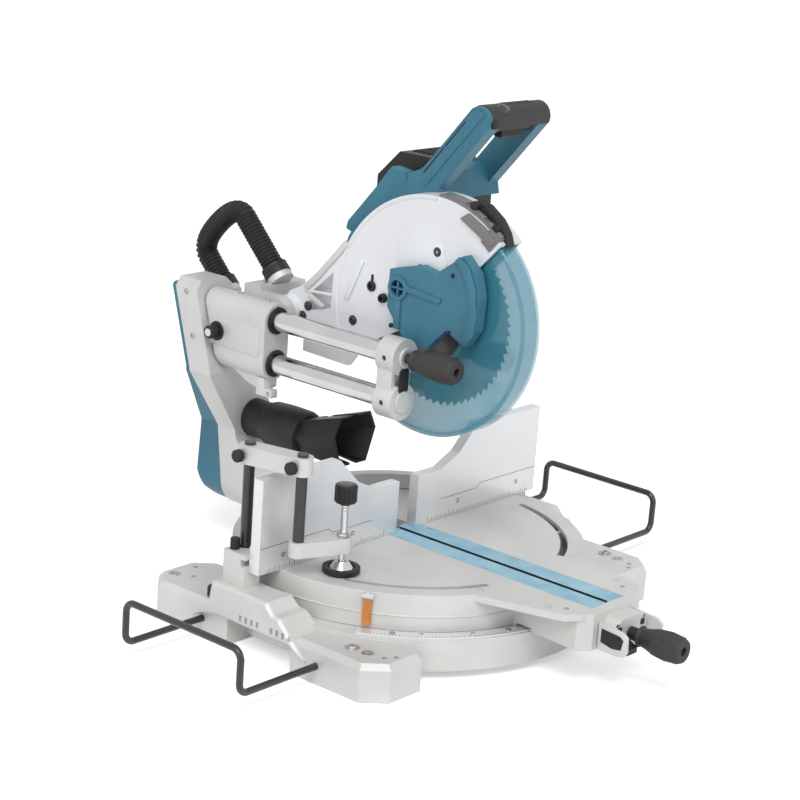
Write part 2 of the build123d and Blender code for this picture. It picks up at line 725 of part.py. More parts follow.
def vise_screw():
    bottom = VISE_PAD_Z + VISE_PAD_TALL - 1 + 0.3
    return rod_z(bottom, VISE_KNOB_Z + 12, *VISE_SCREW, VISE_SCREW_R)


def vise_knob():
    x, y = VISE_SCREW
    knob = Pos(x, y, VISE_KNOB_Z) * fluted_knob(VISE_KNOB_R, VISE_KNOB_TALL, 12)
    return knob - rod_z(VISE_KNOB_Z - 1, VISE_KNOB_Z + 12, x, y, VISE_SCREW_R)


# Turntable

def front_arm_outline(inset):
    half = FRONT_ARM_HALF - inset
    waist = FRONT_ARM_WAIST - inset
    tip = FRONT_ARM_Y + inset
    right = [(waist, -DRUM_R / 2), (waist, FRONT_ARM_WAIST_Y), (half, tip + 17), (half - 16, tip)]
    left = [(-x, y) for x, y in reversed(right)]
    return right + left


def turntable_casting():
    body = trimmed_disc(DRUM_R, 0, TURN_BOTTOM, TABLE_Z)
    body += prism_z(front_arm_outline(0), TURN_BOTTOM, TABLE_Z)
    nose = [*TABLE_NOSE, *[(-x, y) for x, y in reversed(TABLE_NOSE)]]
    body += prism_z(nose, TABLE_Z - PLATE - 3, TABLE_Z)
    hollow = trimmed_disc(DRUM_R, DRUM_WALL, TURN_BOTTOM - 1, TABLE_Z - PLATE)
    hollow += prism_z(front_arm_outline(FRONT_ARM_WALL), TURN_BOTTOM - 1, TABLE_Z - PLATE)
    body -= hollow
    body += rod_z(TURN_BOTTOM, HUB_TOP, 0, 0, HUB_R)
    for angle in (55, 90, 125, 180, 235, 270, 305):
        rib = box(-DRUM_RIB / 2, DRUM_RIB / 2, -DRUM_R, -HUB_R + 4, TURN_BOTTOM + 6, TABLE_Z - PLATE + 1)
        body += (Rot(0, 0, angle) * rib) & trimmed_disc(DRUM_R, DRUM_WALL - 2, TURN_BOTTOM, TABLE_Z)
    for side in (1, -1):
        x0, x1 = sorted((side * KERF_SLOT_HALF, side * (KERF_SLOT_HALF + 6)))
        body += box(x0, x1, KERF_FRONT_Y, KERF_REAR_Y, TABLE_Z - PLATE - 14, TABLE_Z - 1)
    body += rod_y(BOSS_START_Y, BEVEL_HUB_Y - SLIDE_GAP, 0, TABLE_Z, BEVEL_HUB_R)
    slot = (-KERF_SLOT_HALF, KERF_SLOT_HALF, KERF_FRONT_Y, KERF_REAR_Y)
    body -= box(*slot, HUB_TOP, TABLE_Z + 1)
    recess = (-BOARD_HALF, BOARD_HALF, KERF_FRONT_Y, BOARD_REAR_Y)
    body -= box(*recess, TABLE_Z - BOARD_THICK, TABLE_Z + 1)
    for start, end in ((24, 82), (-70, -20)):
        outer = TABLE_SLOT_R + TABLE_SLOT_WIDE
        body -= sector_z(TABLE_SLOT_R, outer, start, end, TABLE_Z - PLATE - 1, TABLE_Z + 1)
    body -= rod_z(TURN_BOTTOM - 1, HUB_TOP + 1, 0, 0, PIVOT_R + FIT)
    body -= rod_z(HUB_TOP - 10 - SLIDE_GAP, HUB_TOP + 1, 0, 0, PIVOT_HEAD_R + 1)
    body -= rod_y(BOSS_START_Y + 2, BEVEL_HUB_Y, 0, TABLE_Z, BEVEL_PIN_R)
    body -= rod_y(FRONT_ARM_Y - 1, FRONT_ARM_Y + FRONT_ARM_WALL + 1, 0, GRIP_Z, LOCK_ROD_R + FIT)
    for x, y in board_screw_places():
        body -= rod_z(TABLE_Z - PLATE - 8, TABLE_Z + 1, x, y, BOARD_SCREW_R)
    scale_room = rod_z(TURN_BOTTOM - 1, FLANGE_Z + SCALE_THICK + BOLT_HEAD + 1, 0, 0, FLANGE_R + 2)
    scale_room -= rod_z(0, TABLE_Z, 0, 0, SCALE_IN_R - 2)
    return body - scale_room


def board_screw_places():
    middle = (KERF_SLOT_HALF + BOARD_HALF) / 2
    return [(side * middle, y) for side in (1, -1) for y in BOARD_SCREW_YS]


def kerf_boards():
    room = SLIDE_GAP / 2
    board = box(
        BOARD_GAP_HALF,
        BOARD_HALF - room,
        KERF_FRONT_Y + room,
        BOARD_REAR_Y - room,
        TABLE_Z - BOARD_THICK,
        TABLE_Z,
    )
    for x, y in board_screw_places():
        if x > 0:
            board -= rod_z(TABLE_Z - BOARD_THICK - 1, TABLE_Z + 1, x, y, BOARD_SCREW_R)
            board -= rod_z(TABLE_Z - BOARD_HEAD_DEEP, TABLE_Z + 1, x, y, 2 * BOARD_SCREW_R)
    return [board, mirror(board, Plane.YZ)]


def kerf_screws():
    screws = []
    seat = TABLE_Z - BOARD_HEAD_DEEP
    for x, y in board_screw_places():
        screw = rod_z(TABLE_Z - PLATE - 8, seat, x, y, BOARD_SCREW_R)
        screws.append(screw + rod_z(seat, TABLE_Z - 0.3, x, y, 2 * BOARD_SCREW_R))
    return screws


def mitre_pointer():
    bottom = FLANGE_Z + SCALE_THICK + 3
    half = POINTER_WIDE / 2
    plate = box(-half, half, -DRUM_R - POINTER_THICK, -DRUM_R + 2, bottom, TABLE_Z - 5)
    plate -= rod_z(bottom - 1, TABLE_Z, 0, 0, DRUM_R)
    return Rot(0, 0, -POINTER_ANGLE) * plate


def front_housing():
    half, low = HOUSING_HALF, TURN_BOTTOM + 2
    outline = [
        (half, low),
        (half, TABLE_Z - 22),
        (half - 14, TABLE_Z - 8),
        (14 - half, TABLE_Z - 8),
        (-half, TABLE_Z - 22),
        (-half, low),
    ]
    body = prism_y(outline, HOUSING_FRONT_Y, FRONT_ARM_Y)
    body -= rod_y(HOUSING_FRONT_Y - 1, FRONT_ARM_Y + 1, 0, GRIP_Z, LOCK_ROD_R + FIT)
    x0, x1 = LATCH_X - LATCH_WIDE / 2 - SLIDE_GAP, LATCH_X + LATCH_WIDE / 2 + SLIDE_GAP
    body -= box(x0, x1, HOUSING_FRONT_Y - 1, HOUSING_FRONT_Y + 12, low - 1, TABLE_Z - 30)
    return body - rod_x(-half - 1, x1 + LATCH_PIN_REACH, *LATCH_PIN, LATCH_PIN_R + FIT)


def mitre_lock_rod():
    return rod_y(GRIP_START_Y - 20, FRONT_ARM_Y + 60, 0, GRIP_Z, LOCK_ROD_R)


def tapered_grip(start, end, big_r, neck_r, x, z, shaft_r):
    """A tapered hand grip along -Y with a flared root and a round hole in its end."""
    long = start - end
    profile = [
        (end, big_r * 0.78),
        (end + 0.08 * long, big_r * 0.92),
        (end + 0.35 * long, big_r),
        (end + 0.62 * long, big_r * 0.9),
        (end + 0.8 * long, neck_r * 1.15),
        (start - 0.06 * long, neck_r),
        (start, neck_r * 1.2),
    ]
    grip = turned_y(profile, x, z)
    for index in range(6):
        angle = math.radians(60 * index + 30)
        far = big_r * 1.16
        place = (x + far * math.cos(angle), z + far * math.sin(angle))
        grip -= rod_y(end - 1, start - 0.3 * long, *place, big_r * 0.26)
    grip -= rod_y(end - 1, end + 12, x, z, big_r * 0.3)
    return grip - rod_y(start - 20, start + 1, x, z, shaft_r)


def mitre_grip():
    return tapered_grip(GRIP_START_Y, GRIP_END_Y, GRIP_R, GRIP_NECK_R, 0, GRIP_Z, LOCK_ROD_R)


def mitre_latch():
    low = TURN_BOTTOM + 1
    y = HOUSING_FRONT_Y
    outline = [
        (y + 10, low + 4),
        (y + 10, TABLE_Z - 34),
        (y - 4, TABLE_Z - 34),
        (y - 22, low + 10),
        (y - 22, low + 2),
        (y - 4, low + 4),
    ]
    x0, x1 = LATCH_X - LATCH_WIDE / 2, LATCH_X + LATCH_WIDE / 2
    pin = rod_x(x0 - LATCH_PIN_REACH, x1 + LATCH_PIN_REACH, *LATCH_PIN, LATCH_PIN_R)
    return prism_x(outline, x0, x1) + pin


# Bevel arm

def bevel_pivot_pin():
    pin = rod_y(BOSS_START_Y + 2, BEVEL_HUB_REAR_Y + SLIDE_GAP, 0, TABLE_Z, BEVEL_PIN_R)
    return pin + rod_y(BEVEL_HUB_REAR_Y + SLIDE_GAP, BEVEL_HUB_REAR_Y + 8, 0, TABLE_Z, BEVEL_PIN_R + 7)


def arm_front_view(grow):
    """The arm seen from the front: it leans left from the bevel hub to the poles."""
    left = POLE_X - POLE_R - POLE_SEAT - 11 - grow
    right = POLE_X + POLE_R + POLE_SEAT + 11 + grow
    hub = BEVEL_HUB_R + grow
    return [
        (hub, TABLE_Z),
        (hub - 6, TABLE_Z + 58),
        (-18 + grow, ARM_SHOULDER_Z),
        (right, ARM_SHOULDER_Z + 32),
        (right, ARM_TOP_Z - 10),
        (right - 10, ARM_TOP_Z),
        (left + 14, ARM_TOP_Z),
        (left, ARM_TOP_Z - 14),
        (left, ARM_SHOULDER_Z - 4),
        (-62 - grow, TABLE_Z + 90),
        (-hub, TABLE_Z),
    ]


def lean_at(z):
    """How far back the leaning upper part of the arm is, at a height."""
    return ARM_LEAN * (z - ARM_TOP_Z) / (ARM_TOP_Z - ARM_SHOULDER_Z)


def arm_casting():
    shoulder = lean_at(ARM_SHOULDER_Z)
    side = [
        (BEVEL_HUB_Y, TABLE_Z - BEVEL_HUB_R - 1),
        (BEVEL_HUB_REAR_Y, TABLE_Z - BEVEL_HUB_R - 1),
        (BEVEL_HUB_REAR_Y, TABLE_Z + 90),
        (ARM_TOP_REAR_Y + shoulder, ARM_SHOULDER_Z),
        (ARM_TOP_REAR_Y, ARM_TOP_Z),
        (ARM_TOP_FRONT_Y, ARM_TOP_Z),
        (ARM_TOP_FRONT_Y + shoulder, ARM_SHOULDER_Z),
        (BEVEL_HUB_Y + 21, TABLE_Z + 78),
        (BEVEL_HUB_Y, TABLE_Z + 40),
    ]
    front = prism_y(arm_front_view(0), BEVEL_HUB_Y, ARM_TOP_REAR_Y)
    front += rod_y(BEVEL_HUB_Y, ARM_TOP_REAR_Y, 0, TABLE_Z, BEVEL_HUB_R)
    body = front & prism_x(side, -300, 300)
    body += hose_socket(hose_end(True), POLE_X + POLE_R + POLE_SEAT)
    for z in (POLE_UPPER_Z, POLE_LOWER_Z):
        body -= rod_y(BEVEL_HUB_Y, pole_rear(z), POLE_X, z, POLE_R)
    body -= rod_y(BEVEL_HUB_Y - 1, BEVEL_HUB_REAR_Y + 1, 0, TABLE_Z, BEVEL_PIN_R + FIT)
    return body


def rear_cover_body(wall):
    """The rear cover's outside, or its inside when a wall is taken off."""
    shoulder = lean_at(ARM_SHOULDER_Z)
    hub, low = BEVEL_HUB_REAR_Y, TABLE_Z - BEVEL_HUB_R + 4 + wall
    top, top_front = ARM_TOP_Z - 10 - wall, ARM_TOP_Z - 6 - wall
    thick, belly = COVER_THICK - wall, COVER_BELLY - wall
    back = [
        (hub, low),
        (hub, TABLE_Z + 90),
        (ARM_TOP_REAR_Y + shoulder, ARM_SHOULDER_Z),
        (ARM_TOP_REAR_Y + lean_at(top_front), top_front),
        (ARM_TOP_REAR_Y + lean_at(top) + thick, top),
        (ARM_TOP_REAR_Y + shoulder + thick, ARM_SHOULDER_Z),
        (hub + 0.65 * belly, TABLE_Z + 103),
        (hub + belly, TABLE_Z),
        (hub + belly - 10, TABLE_Z - 28),
        (hub + 18 - wall, low),
    ]
    shape = prism_y(arm_front_view(-2 - wall), BEVEL_HUB_Y, ARM_TOP_REAR_Y + 60)
    shape += rod_y(BEVEL_HUB_Y, ARM_TOP_REAR_Y + 60, 0, TABLE_Z, BEVEL_HUB_R - 2 - wall)
    return shape & prism_x(back, -300, 300)


def arm_rear_cover():
    """The plastic cover over the back of the arm, deepest at the bevel hub and open towards the arm."""
    return rear_cover_body(0) - rear_cover_body(REAR_COVER_WALL)


def pole_rear(z):
    """Where a pole ends inside the arm."""
    return ARM_TOP_REAR_Y + lean_at(z - POLE_R) - POLE_WALL


def slide_poles():
    poles = []
    for z in (POLE_UPPER_Z, POLE_LOWER_Z):
        pole = rod_y(POLE_FRONT_Y, pole_rear(z), POLE_X, z, POLE_R)
        poles.append(pole - rod_y(POLE_FRONT_Y + 50, pole_rear(z) + 1, POLE_X, z, POLE_BORE_R))
    poles[0] -= rod_y(POLE_FRONT_Y - 1, POLE_FRONT_Y + 40, POLE_X, POLE_UPPER_Z, BEVEL_SHAFT_R + FIT)
    return poles


def stadium_y(half, y0, y1):
    """A round-ended upright body round both poles."""
    body = box(POLE_X - half, POLE_X + half, y0, y1, POLE_LOWER_Z, POLE_UPPER_Z)
    for z in (POLE_UPPER_Z, POLE_LOWER_Z):
        body += rod_y(y0, y1, POLE_X, z, half)
    return body


def front_bracket():
    half = POLE_R + POLE_SEAT
    body = stadium_y(half - 7, BRACKET_FRONT_Y + 6, BRACKET_REAR_Y)
    for z in (POLE_UPPER_Z, POLE_LOWER_Z):
        body += rod_y(BRACKET_FRONT_Y, BRACKET_REAR_Y, POLE_X, z, half)
        body -= rod_y(POLE_FRONT_Y, BRACKET_REAR_Y + 1, POLE_X, z, POLE_R)
    body -= rod_y(BRACKET_FRONT_Y - 1, POLE_FRONT_Y, POLE_X, POLE_UPPER_Z, BEVEL_SHAFT_R + FIT)
    middle = (POLE_UPPER_Z + POLE_LOWER_Z) / 2
    room = (POLE_UPPER_Z - POLE_LOWER_Z) / 2 - POLE_R - 8
    body -= box(POLE_X - 11, POLE_X + 11, BRACKET_FRONT_Y, BRACKET_REAR_Y + 1, middle - room, middle + room)
    for z in (POLE_UPPER_Z, POLE_LOWER_Z):
        body -= rod_x(POLE_X - half - 1, POLE_X - half + 5, (BRACKET_FRONT_Y + BRACKET_REAR_Y) / 2, z, 4)
    return body


def bevel_knob():
    grip = tapered_grip(
        BEVEL_KNOB_START_Y,
        BEVEL_KNOB_END_Y,
        BEVEL_KNOB_R,
        GRIP_NECK_R,
        POLE_X,
        POLE_UPPER_Z,
        0.5,
    )
    shaft = rod_y(BEVEL_KNOB_START_Y - 30, POLE_FRONT_Y + 38, POLE_X, POLE_UPPER_Z, BEVEL_SHAFT_R)
    return grip + shaft


def scoop_shell(mouth, tube_r, wall_y):
    """The scoop's outside or inside: a six-sided mouth that runs into a round neck."""
    centre = (sum(x for x, z in mouth) / len(mouth), sum(z for x, z in mouth) / len(mouth))
    front = Plane(origin=(centre[0], wall_y, centre[1]), x_dir=(1, 0, 0), z_dir=(0, -1, 0))
    neck = Plane(origin=(SCOOP_TUBE_X, SCOOP_NECK_Y, SCOOP_TUBE_Z), x_dir=(1, 0, 0), z_dir=(0, -1, 0))
    ring = [
        (tube_r * math.cos(math.radians(a)), tube_r * math.sin(math.radians(a)))
        for a in (180, 120, 60, 0, -60, -120)
    ]
    outline = [(x - centre[0], z - centre[1]) for x, z in mouth]
    ends = [front * make_face(Polyline(*outline, close=True)), neck * make_face(Polyline(*ring, close=True))]
    return loft(ends, ruled=True)


def dust_scoop():
    shrink = 1 - SCOOP_WALL / SCOOP_MOUTH_HALF
    inner = [(x * shrink, SCOOP_MIDDLE_Z + (z - SCOOP_MIDDLE_Z) * shrink) for x, z in SCOOP_MOUTH]
    body = scoop_shell(SCOOP_MOUTH, SCOOP_TUBE_R, SCOOP_MOUTH_Y)
    body += rod_y(SCOOP_NECK_Y, SCOOP_REAR_Y, SCOOP_TUBE_X, SCOOP_TUBE_Z, SCOOP_TUBE_R)
    body += rod_y(SCOOP_NECK_Y + 50, SCOOP_NECK_Y + 64, SCOOP_TUBE_X, SCOOP_TUBE_Z, SCOOP_TUBE_R + 4)
    body -= scoop_shell(inner, SCOOP_TUBE_R - SCOOP_WALL, SCOOP_MOUTH_Y)
    bore = SCOOP_TUBE_R * math.cos(math.radians(30)) - SCOOP_WALL
    body -= rod_y(SCOOP_NECK_Y - 1, BEVEL_HUB_Y, SCOOP_TUBE_X, SCOOP_TUBE_Z, bore)
    arm_front = [
        (BEVEL_HUB_Y + 21, TABLE_Z + 78),
        (ARM_TOP_FRONT_Y + lean_at(ARM_SHOULDER_Z), ARM_SHOULDER_Z),
        (ARM_TOP_REAR_Y, ARM_SHOULDER_Z),
        (ARM_TOP_REAR_Y, TABLE_Z + 40),
        (BEVEL_HUB_Y, TABLE_Z + 40),
    ]
    body -= prism_x(arm_front, -100, 100)
    slot = (-SCOOP_SLOT_HALF, SCOOP_SLOT_HALF, SCOOP_MOUTH_Y - 1, SCOOP_NECK_Y - 16)
    body -= box(*slot, 0, FENCE_TOP_Z + 60)
    return body


# Dust hose: an arch in a plane across X

def hose_heading(side):
    angle = math.radians(HOSE_LEAN)
    return (math.cos(angle) * side, math.sin(angle) * side)


def hose_points():
    """The four joints of the arch's middle line: straight, half round, straight."""
    along = hose_heading(1)
    across = (along[1], -along[0])
    a = (HOSE_START_Y, ARM_TOP_Z + HOSE_LIFT)
    b = (a[0] + HOSE_FRONT_LEG * along[0], a[1] + HOSE_FRONT_LEG * along[1])
    c = (b[0] + 2 * HOSE_BEND_R * across[0], b[1] + 2 * HOSE_BEND_R * across[1])
    d = (c[0] - HOSE_REAR_LEG * along[0], c[1] - HOSE_REAR_LEG * along[1])
    return a, b, c, d


def hose_end(rear):
    return hose_points()[3] if rear else hose_points()[0]


def hose_section(travel, radius):
    """A ring face of the hose, that far along its middle line, with X kept in its plane."""
    a, b, c, d = hose_points()
    bend = math.pi * HOSE_BEND_R
    along = hose_heading(1)
    if travel <= HOSE_FRONT_LEG:
        place = (a[0] + travel * along[0], a[1] + travel * along[1])
        heading = along
    elif travel >= HOSE_FRONT_LEG + bend:
        rest = travel - HOSE_FRONT_LEG - bend
        place = (c[0] - rest * along[0], c[1] - rest * along[1])
        heading = (-along[0], -along[1])
    else:
        turn = (travel - HOSE_FRONT_LEG) / HOSE_BEND_R
        middle = ((b[0] + c[0]) / 2, (b[1] + c[1]) / 2)
        angle = math.radians(HOSE_LEAN) - turn
        place = (
            middle[0] - HOSE_BEND_R * math.sin(angle),
            middle[1] + HOSE_BEND_R * math.cos(angle),
        )
        heading = (math.cos(angle), math.sin(angle))
    plane = Plane(origin=(HOSE_X, *place), x_dir=(1, 0, 0), z_dir=(0, *heading))
    return plane * Circle(radius)


def hose_length():
    return HOSE_FRONT_LEG + math.pi * HOSE_BEND_R + HOSE_REAR_LEG


def dust_hose():
    straight = HOSE_R
    ribs = int((hose_length() - 2 * straight) / HOSE_RIB_PITCH)
    pitch = (hose_length() - 2 * straight) / ribs
    low = HOSE_R - HOSE_RIB
    sections = [hose_section(0, low)]
    for index in range(ribs):
        start = straight + index * pitch
        for share, radius in ((0.0, low), (0.3, HOSE_R), (0.6, HOSE_R), (0.9, low)):
            sections.append(hose_section(start + share * pitch, radius))
    sections.append(hose_section(hose_length(), low))
    body = loft(sections, ruled=True)
    steps = 24
    bores = [hose_section(hose_length() * index / steps, HOSE_BORE_R) for index in range(steps + 1)]
    return body - loft(bores, ruled=True)


def hose_socket(end, reach):
    """A cup that the hose sits on, with a web to the casting on its left if there is one."""
    along = hose_heading(1)
    plane = Plane(origin=(HOSE_X, *end), x_dir=(1, 0, 0), z_dir=(0, -along[0], -along[1]))
    cup = extrude(plane * Circle(HOSE_SOCKET_R), HOSE_SOCKET_LONG)
    if reach is None:
        return cup
    low = end[1] - HOSE_SOCKET_LONG
    foot_y = end[0] - along[0] * HOSE_SOCKET_LONG
    rear = foot_y + HOSE_WEB_LAP
    return cup + box(reach, HOSE_X, rear - HOSE_WEB_DEEP, rear, low - 10, low + 4)


# Carriage

def carriage_block():
    half = POLE_R + CARRIAGE_SHELL
    body = stadium_y(half, CARRIAGE_FRONT_Y, ARM_TOP_FRONT_Y)
    low_z, high_z = ARM_SHOULDER_Z, ARM_TOP_Z + 20
    behind = [
        (ARM_TOP_FRONT_Y + lean_at(low_z) - CARRIAGE_GAP, low_z),
        (ARM_TOP_FRONT_Y + lean_at(high_z) - CARRIAGE_GAP, high_z),
        (ARM_TOP_REAR_Y, high_z),
        (ARM_TOP_REAR_Y, low_z),
    ]
    body -= prism_x(behind, POLE_X - half - 1, POLE_X + half + 1)
    right = LUG_OUT_X + LUG_THICK
    low, high = HEAD_PIVOT_Z - LUG_R - 6, ARM_TOP_Z + 2
    body += box(POLE_X + half - 8, right, BRIDGE_FRONT_Y, BRIDGE_REAR_Y, low, high)
    for x0, x1 in ((POLE_X + half - 7, LUG_IN_X), (LUG_OUT_X, right)):
        body += rod_x(x0, x1, HEAD_PIVOT_Y, HEAD_PIVOT_Z, LUG_R)
        body += box(x0, x1, HEAD_PIVOT_Y, BRIDGE_REAR_Y, HEAD_PIVOT_Z - LUG_R, HEAD_PIVOT_Z + LUG_R)
    body += hose_socket(hose_end(False), None)
    for z in (POLE_UPPER_Z, POLE_LOWER_Z):
        body -= rod_y(CARRIAGE_FRONT_Y - 1, ARM_TOP_FRONT_Y, POLE_X, z, POLE_R + SLIDE_GAP)
        body -= rod_y(CARRIAGE_FRONT_Y, CARRIAGE_FRONT_Y + BEARING_LONG, POLE_X, z, BEARING_R)
        body -= rod_y(REAR_BEARING_Y, ARM_TOP_FRONT_Y, POLE_X, z, BEARING_R)
    body -= rod_x(POLE_X + half - 7, right, HEAD_PIVOT_Y, HEAD_PIVOT_Z, HEAD_PIN_R)
    middle = (POLE_UPPER_Z + POLE_LOWER_Z) / 2
    body -= rod_x(POLE_X - half - 1, POLE_X - half + 20, SLIDE_LOCK_Y, middle, 4 + FIT)
    return body


def linear_bearings():
    rings = []
    for z in (POLE_UPPER_Z, POLE_LOWER_Z):
        for y0 in (CARRIAGE_FRONT_Y, REAR_BEARING_Y):
            ring = rod_y(y0, y0 + BEARING_LONG, POLE_X, z, BEARING_R)
            rings.append(ring - rod_y(y0 - 1, y0 + BEARING_LONG + 1, POLE_X, z, POLE_R + FIT))
    return rings


def head_pivot_pin():
    x0 = POLE_X + POLE_R + CARRIAGE_SHELL - 7
    return rod_x(x0, LUG_OUT_X + LUG_THICK, HEAD_PIVOT_Y, HEAD_PIVOT_Z, HEAD_PIN_R)


def slide_lock_screw():
    x = POLE_X - POLE_R - CARRIAGE_SHELL
    middle = (POLE_UPPER_Z + POLE_LOWER_Z) / 2
    screw = rod_x(x - 4, x + 19, SLIDE_LOCK_Y, middle, 4)
    return screw + Pos(x - 4, SLIDE_LOCK_Y, middle) * Rot(0, -90, 0) * fluted_knob(10, 16, 8)


# Saw head

def case_tail():
    """The cast frame that runs back from the blade case to the head's pivot, with a window in it."""
    py, pz = HEAD_PIVOT_Y, HEAD_PIVOT_Z
    outline = [
        polar(CASE_R - 2, 26),
        (py - 22, pz + 42),
        (py + 2, pz + 30),
        (py + 24, pz),
        (py + 10, pz - 22),
        (py - 14, pz - 24),
        polar(CASE_R - 2, -24),
    ]
    frame = prism_x(outline, CASE_LEFT_X, CASE_RIGHT_X)
    window = [polar(CASE_R + 8, 10), (py - 42, pz + 36), (py - 40, pz + 8), polar(CASE_R + 8, -7)]
    return frame - prism_x(window, CASE_LEFT_X - 1, CASE_RIGHT_X + 1)


def blade_case():
    body = sector_x(20, CASE_R, CASE_FROM, CASE_TO, CASE_LEFT_X, CASE_RIGHT_X)
    body += case_tail()
    body += rod_x(LUG_IN_X + 2, LUG_OUT_X - 2, HEAD_PIVOT_Y, HEAD_PIVOT_Z, LUG_R - 1)
    inner = CASE_R - CASE_RIM
    body -= rod_x(CASE_LEFT_X + CASE_WALL, CASE_RIGHT_X - CASE_WALL, BLADE_Y, BLADE_Z, inner)
    body -= rod_x(CASE_LEFT_X - 1, CASE_LEFT_X + CASE_WALL + 1, BLADE_Y, BLADE_Z, GUARD_WINDOW_R - 12)
    body += rod_x(CASE_RIGHT_X - CASE_WALL, CASE_RIGHT_X, BLADE_Y, BLADE_Z, BOSS_R + 6)
    body += rod_x(BOSS_LEFT_X, CASE_RIGHT_X, BLADE_Y, BLADE_Z, BOSS_R)
    body -= rod_x(BOSS_LEFT_X - 1, CASE_RIGHT_X + 1, BLADE_Y, BLADE_Z, LARGE_BEARING_R)
    body -= rod_x(LUG_IN_X, LUG_OUT_X, HEAD_PIVOT_Y, HEAD_PIVOT_Z, HEAD_PIN_R + FIT)
    return body


def top_cover():
    outer = CASE_R + TOP_COVER_THICK
    cover = sector_x(CASE_R, outer, TOP_COVER_FROM, TOP_COVER_TO, CASE_LEFT_X, HANDLE_LEFT_X - 1)
    lip = sector_x(CASE_R - 22, outer, TOP_COVER_TO - 7, TOP_COVER_TO, CASE_LEFT_X - 3, CASE_LEFT_X)
    return cover + lip


def cover_points(inset):
    """The centre cover's outline, drawn in towards its middle."""
    count = len(COVER_OUTLINE)
    middle_y = sum(y for y, z in COVER_OUTLINE) / count
    middle_z = sum(z for y, z in COVER_OUTLINE) / count
    points = []
    for y, z in COVER_OUTLINE:
        share = 1 - inset / math.hypot(y - middle_y, z - middle_z)
        in_y = middle_y + (y - middle_y) * share
        in_z = middle_z + (z - middle_z) * share
        points.append((BLADE_Y + in_y, BLADE_Z + in_z))
    return points


def centre_cover():
    """The cover over the arbor, on the blade's left side; a notch at its foot clears the fence."""
    body = prism_x(cover_points(0), COVER_LEFT_X, CASE_LEFT_X)
    body -= prism_x(cover_points(2 * COVER_WALL), COVER_LEFT_X + COVER_WALL, CASE_LEFT_X + 1)
    hole = (BLADE_Y + COVER_HOLE[0], BLADE_Z + COVER_HOLE[1])
    body += rod_x(COVER_LEFT_X - 2, CASE_LEFT_X, *hole, COVER_HOLE_R + 4)
    return body - rod_x(COVER_LEFT_X - 3, CASE_LEFT_X + 1, *hole, COVER_HOLE_R)


def belt_fan(inset, x0, x1):
    """The belt housing's outline: a fan from the blade axis to a flat edge past the motor axis."""
    turn = math.radians(MOTOR_ANGLE)
    across = (-BELT_FAN * math.sin(turn), BELT_FAN * math.cos(turn))
    edges = (Pos(BLADE_Y, BLADE_Z) * Circle(BELT_END_R - inset)).edges()
    for side in (1, -1):
        corner = Pos(MOTOR_Y + side * across[0], MOTOR_Z + side * across[1])
        edges += (corner * Circle(BELT_MOTOR_R - inset)).edges()
    return extrude(Plane.YZ.offset(x0) * make_hull(edges), x1 - x0)


def belt_housing():
    x0, x1 = CASE_RIGHT_X, MOTOR_START_X
    shell = belt_fan(0, x0, x1)
    shell -= belt_fan(BELT_WALL, x0 + BELT_WALL, x1 - BELT_WALL)
    shell += rod_x(BELT_RIGHT_X + 1.5, x1, BLADE_Y, BLADE_Z, LARGE_BEARING_R + 4)
    shell -= rod_x(x0 - 1, x1 + 1, BLADE_Y, BLADE_Z, LARGE_BEARING_R)
    shell -= rod_x(x1 - BELT_WALL - 1, x1 + 1, MOTOR_Y, MOTOR_Z, ROTOR_SHAFT_R + 2)
    y, z = shaft_lock_place()
    shell -= rod_x(x1 - BELT_WALL - 1, x1 + 1, y, z, SHAFT_LOCK_R + FIT)
    return shell


def drive_belt():
    outer = belt_loop(BELT_GAP + BELT_THICK, BELT_LEFT_X, BELT_RIGHT_X)
    return outer - belt_loop(BELT_GAP, BELT_LEFT_X - 1, BELT_RIGHT_X + 1)


def motor_housing():
    body = rod_x(MOTOR_START_X, MOTOR_SPLIT_X, MOTOR_Y, MOTOR_Z, MOTOR_R)
    inner = MOTOR_R - MOTOR_WALL
    body -= rod_x(MOTOR_START_X + MOTOR_WALL, MOTOR_SPLIT_X + 1, MOTOR_Y, MOTOR_Z, inner)
    body += rod_x(MOTOR_START_X, MOTOR_START_X + 14, MOTOR_Y, MOTOR_Z, SMALL_BEARING_R + 5)
    body -= rod_x(MOTOR_START_X + 3, MOTOR_START_X + 15, MOTOR_Y, MOTOR_Z, SMALL_BEARING_R)
    body -= rod_x(MOTOR_START_X - 1, MOTOR_START_X + 4, MOTOR_Y, MOTOR_Z, ROTOR_SHAFT_R + 2)
    return body


def motor_cover_block(grow):
    """The eight-sided block round the motor, which sits off the motor's axis."""
    plane = Plane.YZ.offset(MOTOR_SPLIT_X)
    centre = Pos(MOTOR_Y + MOTOR_COVER_SHIFT[0], MOTOR_Z + MOTOR_COVER_SHIFT[1])
    outline = RegularPolygon(MOTOR_COVER_HALF + grow, 8, major_radius=False, rotation=22.5)
    return extrude(plane * centre * outline, MOTOR_END_X - MOTOR_SPLIT_X)


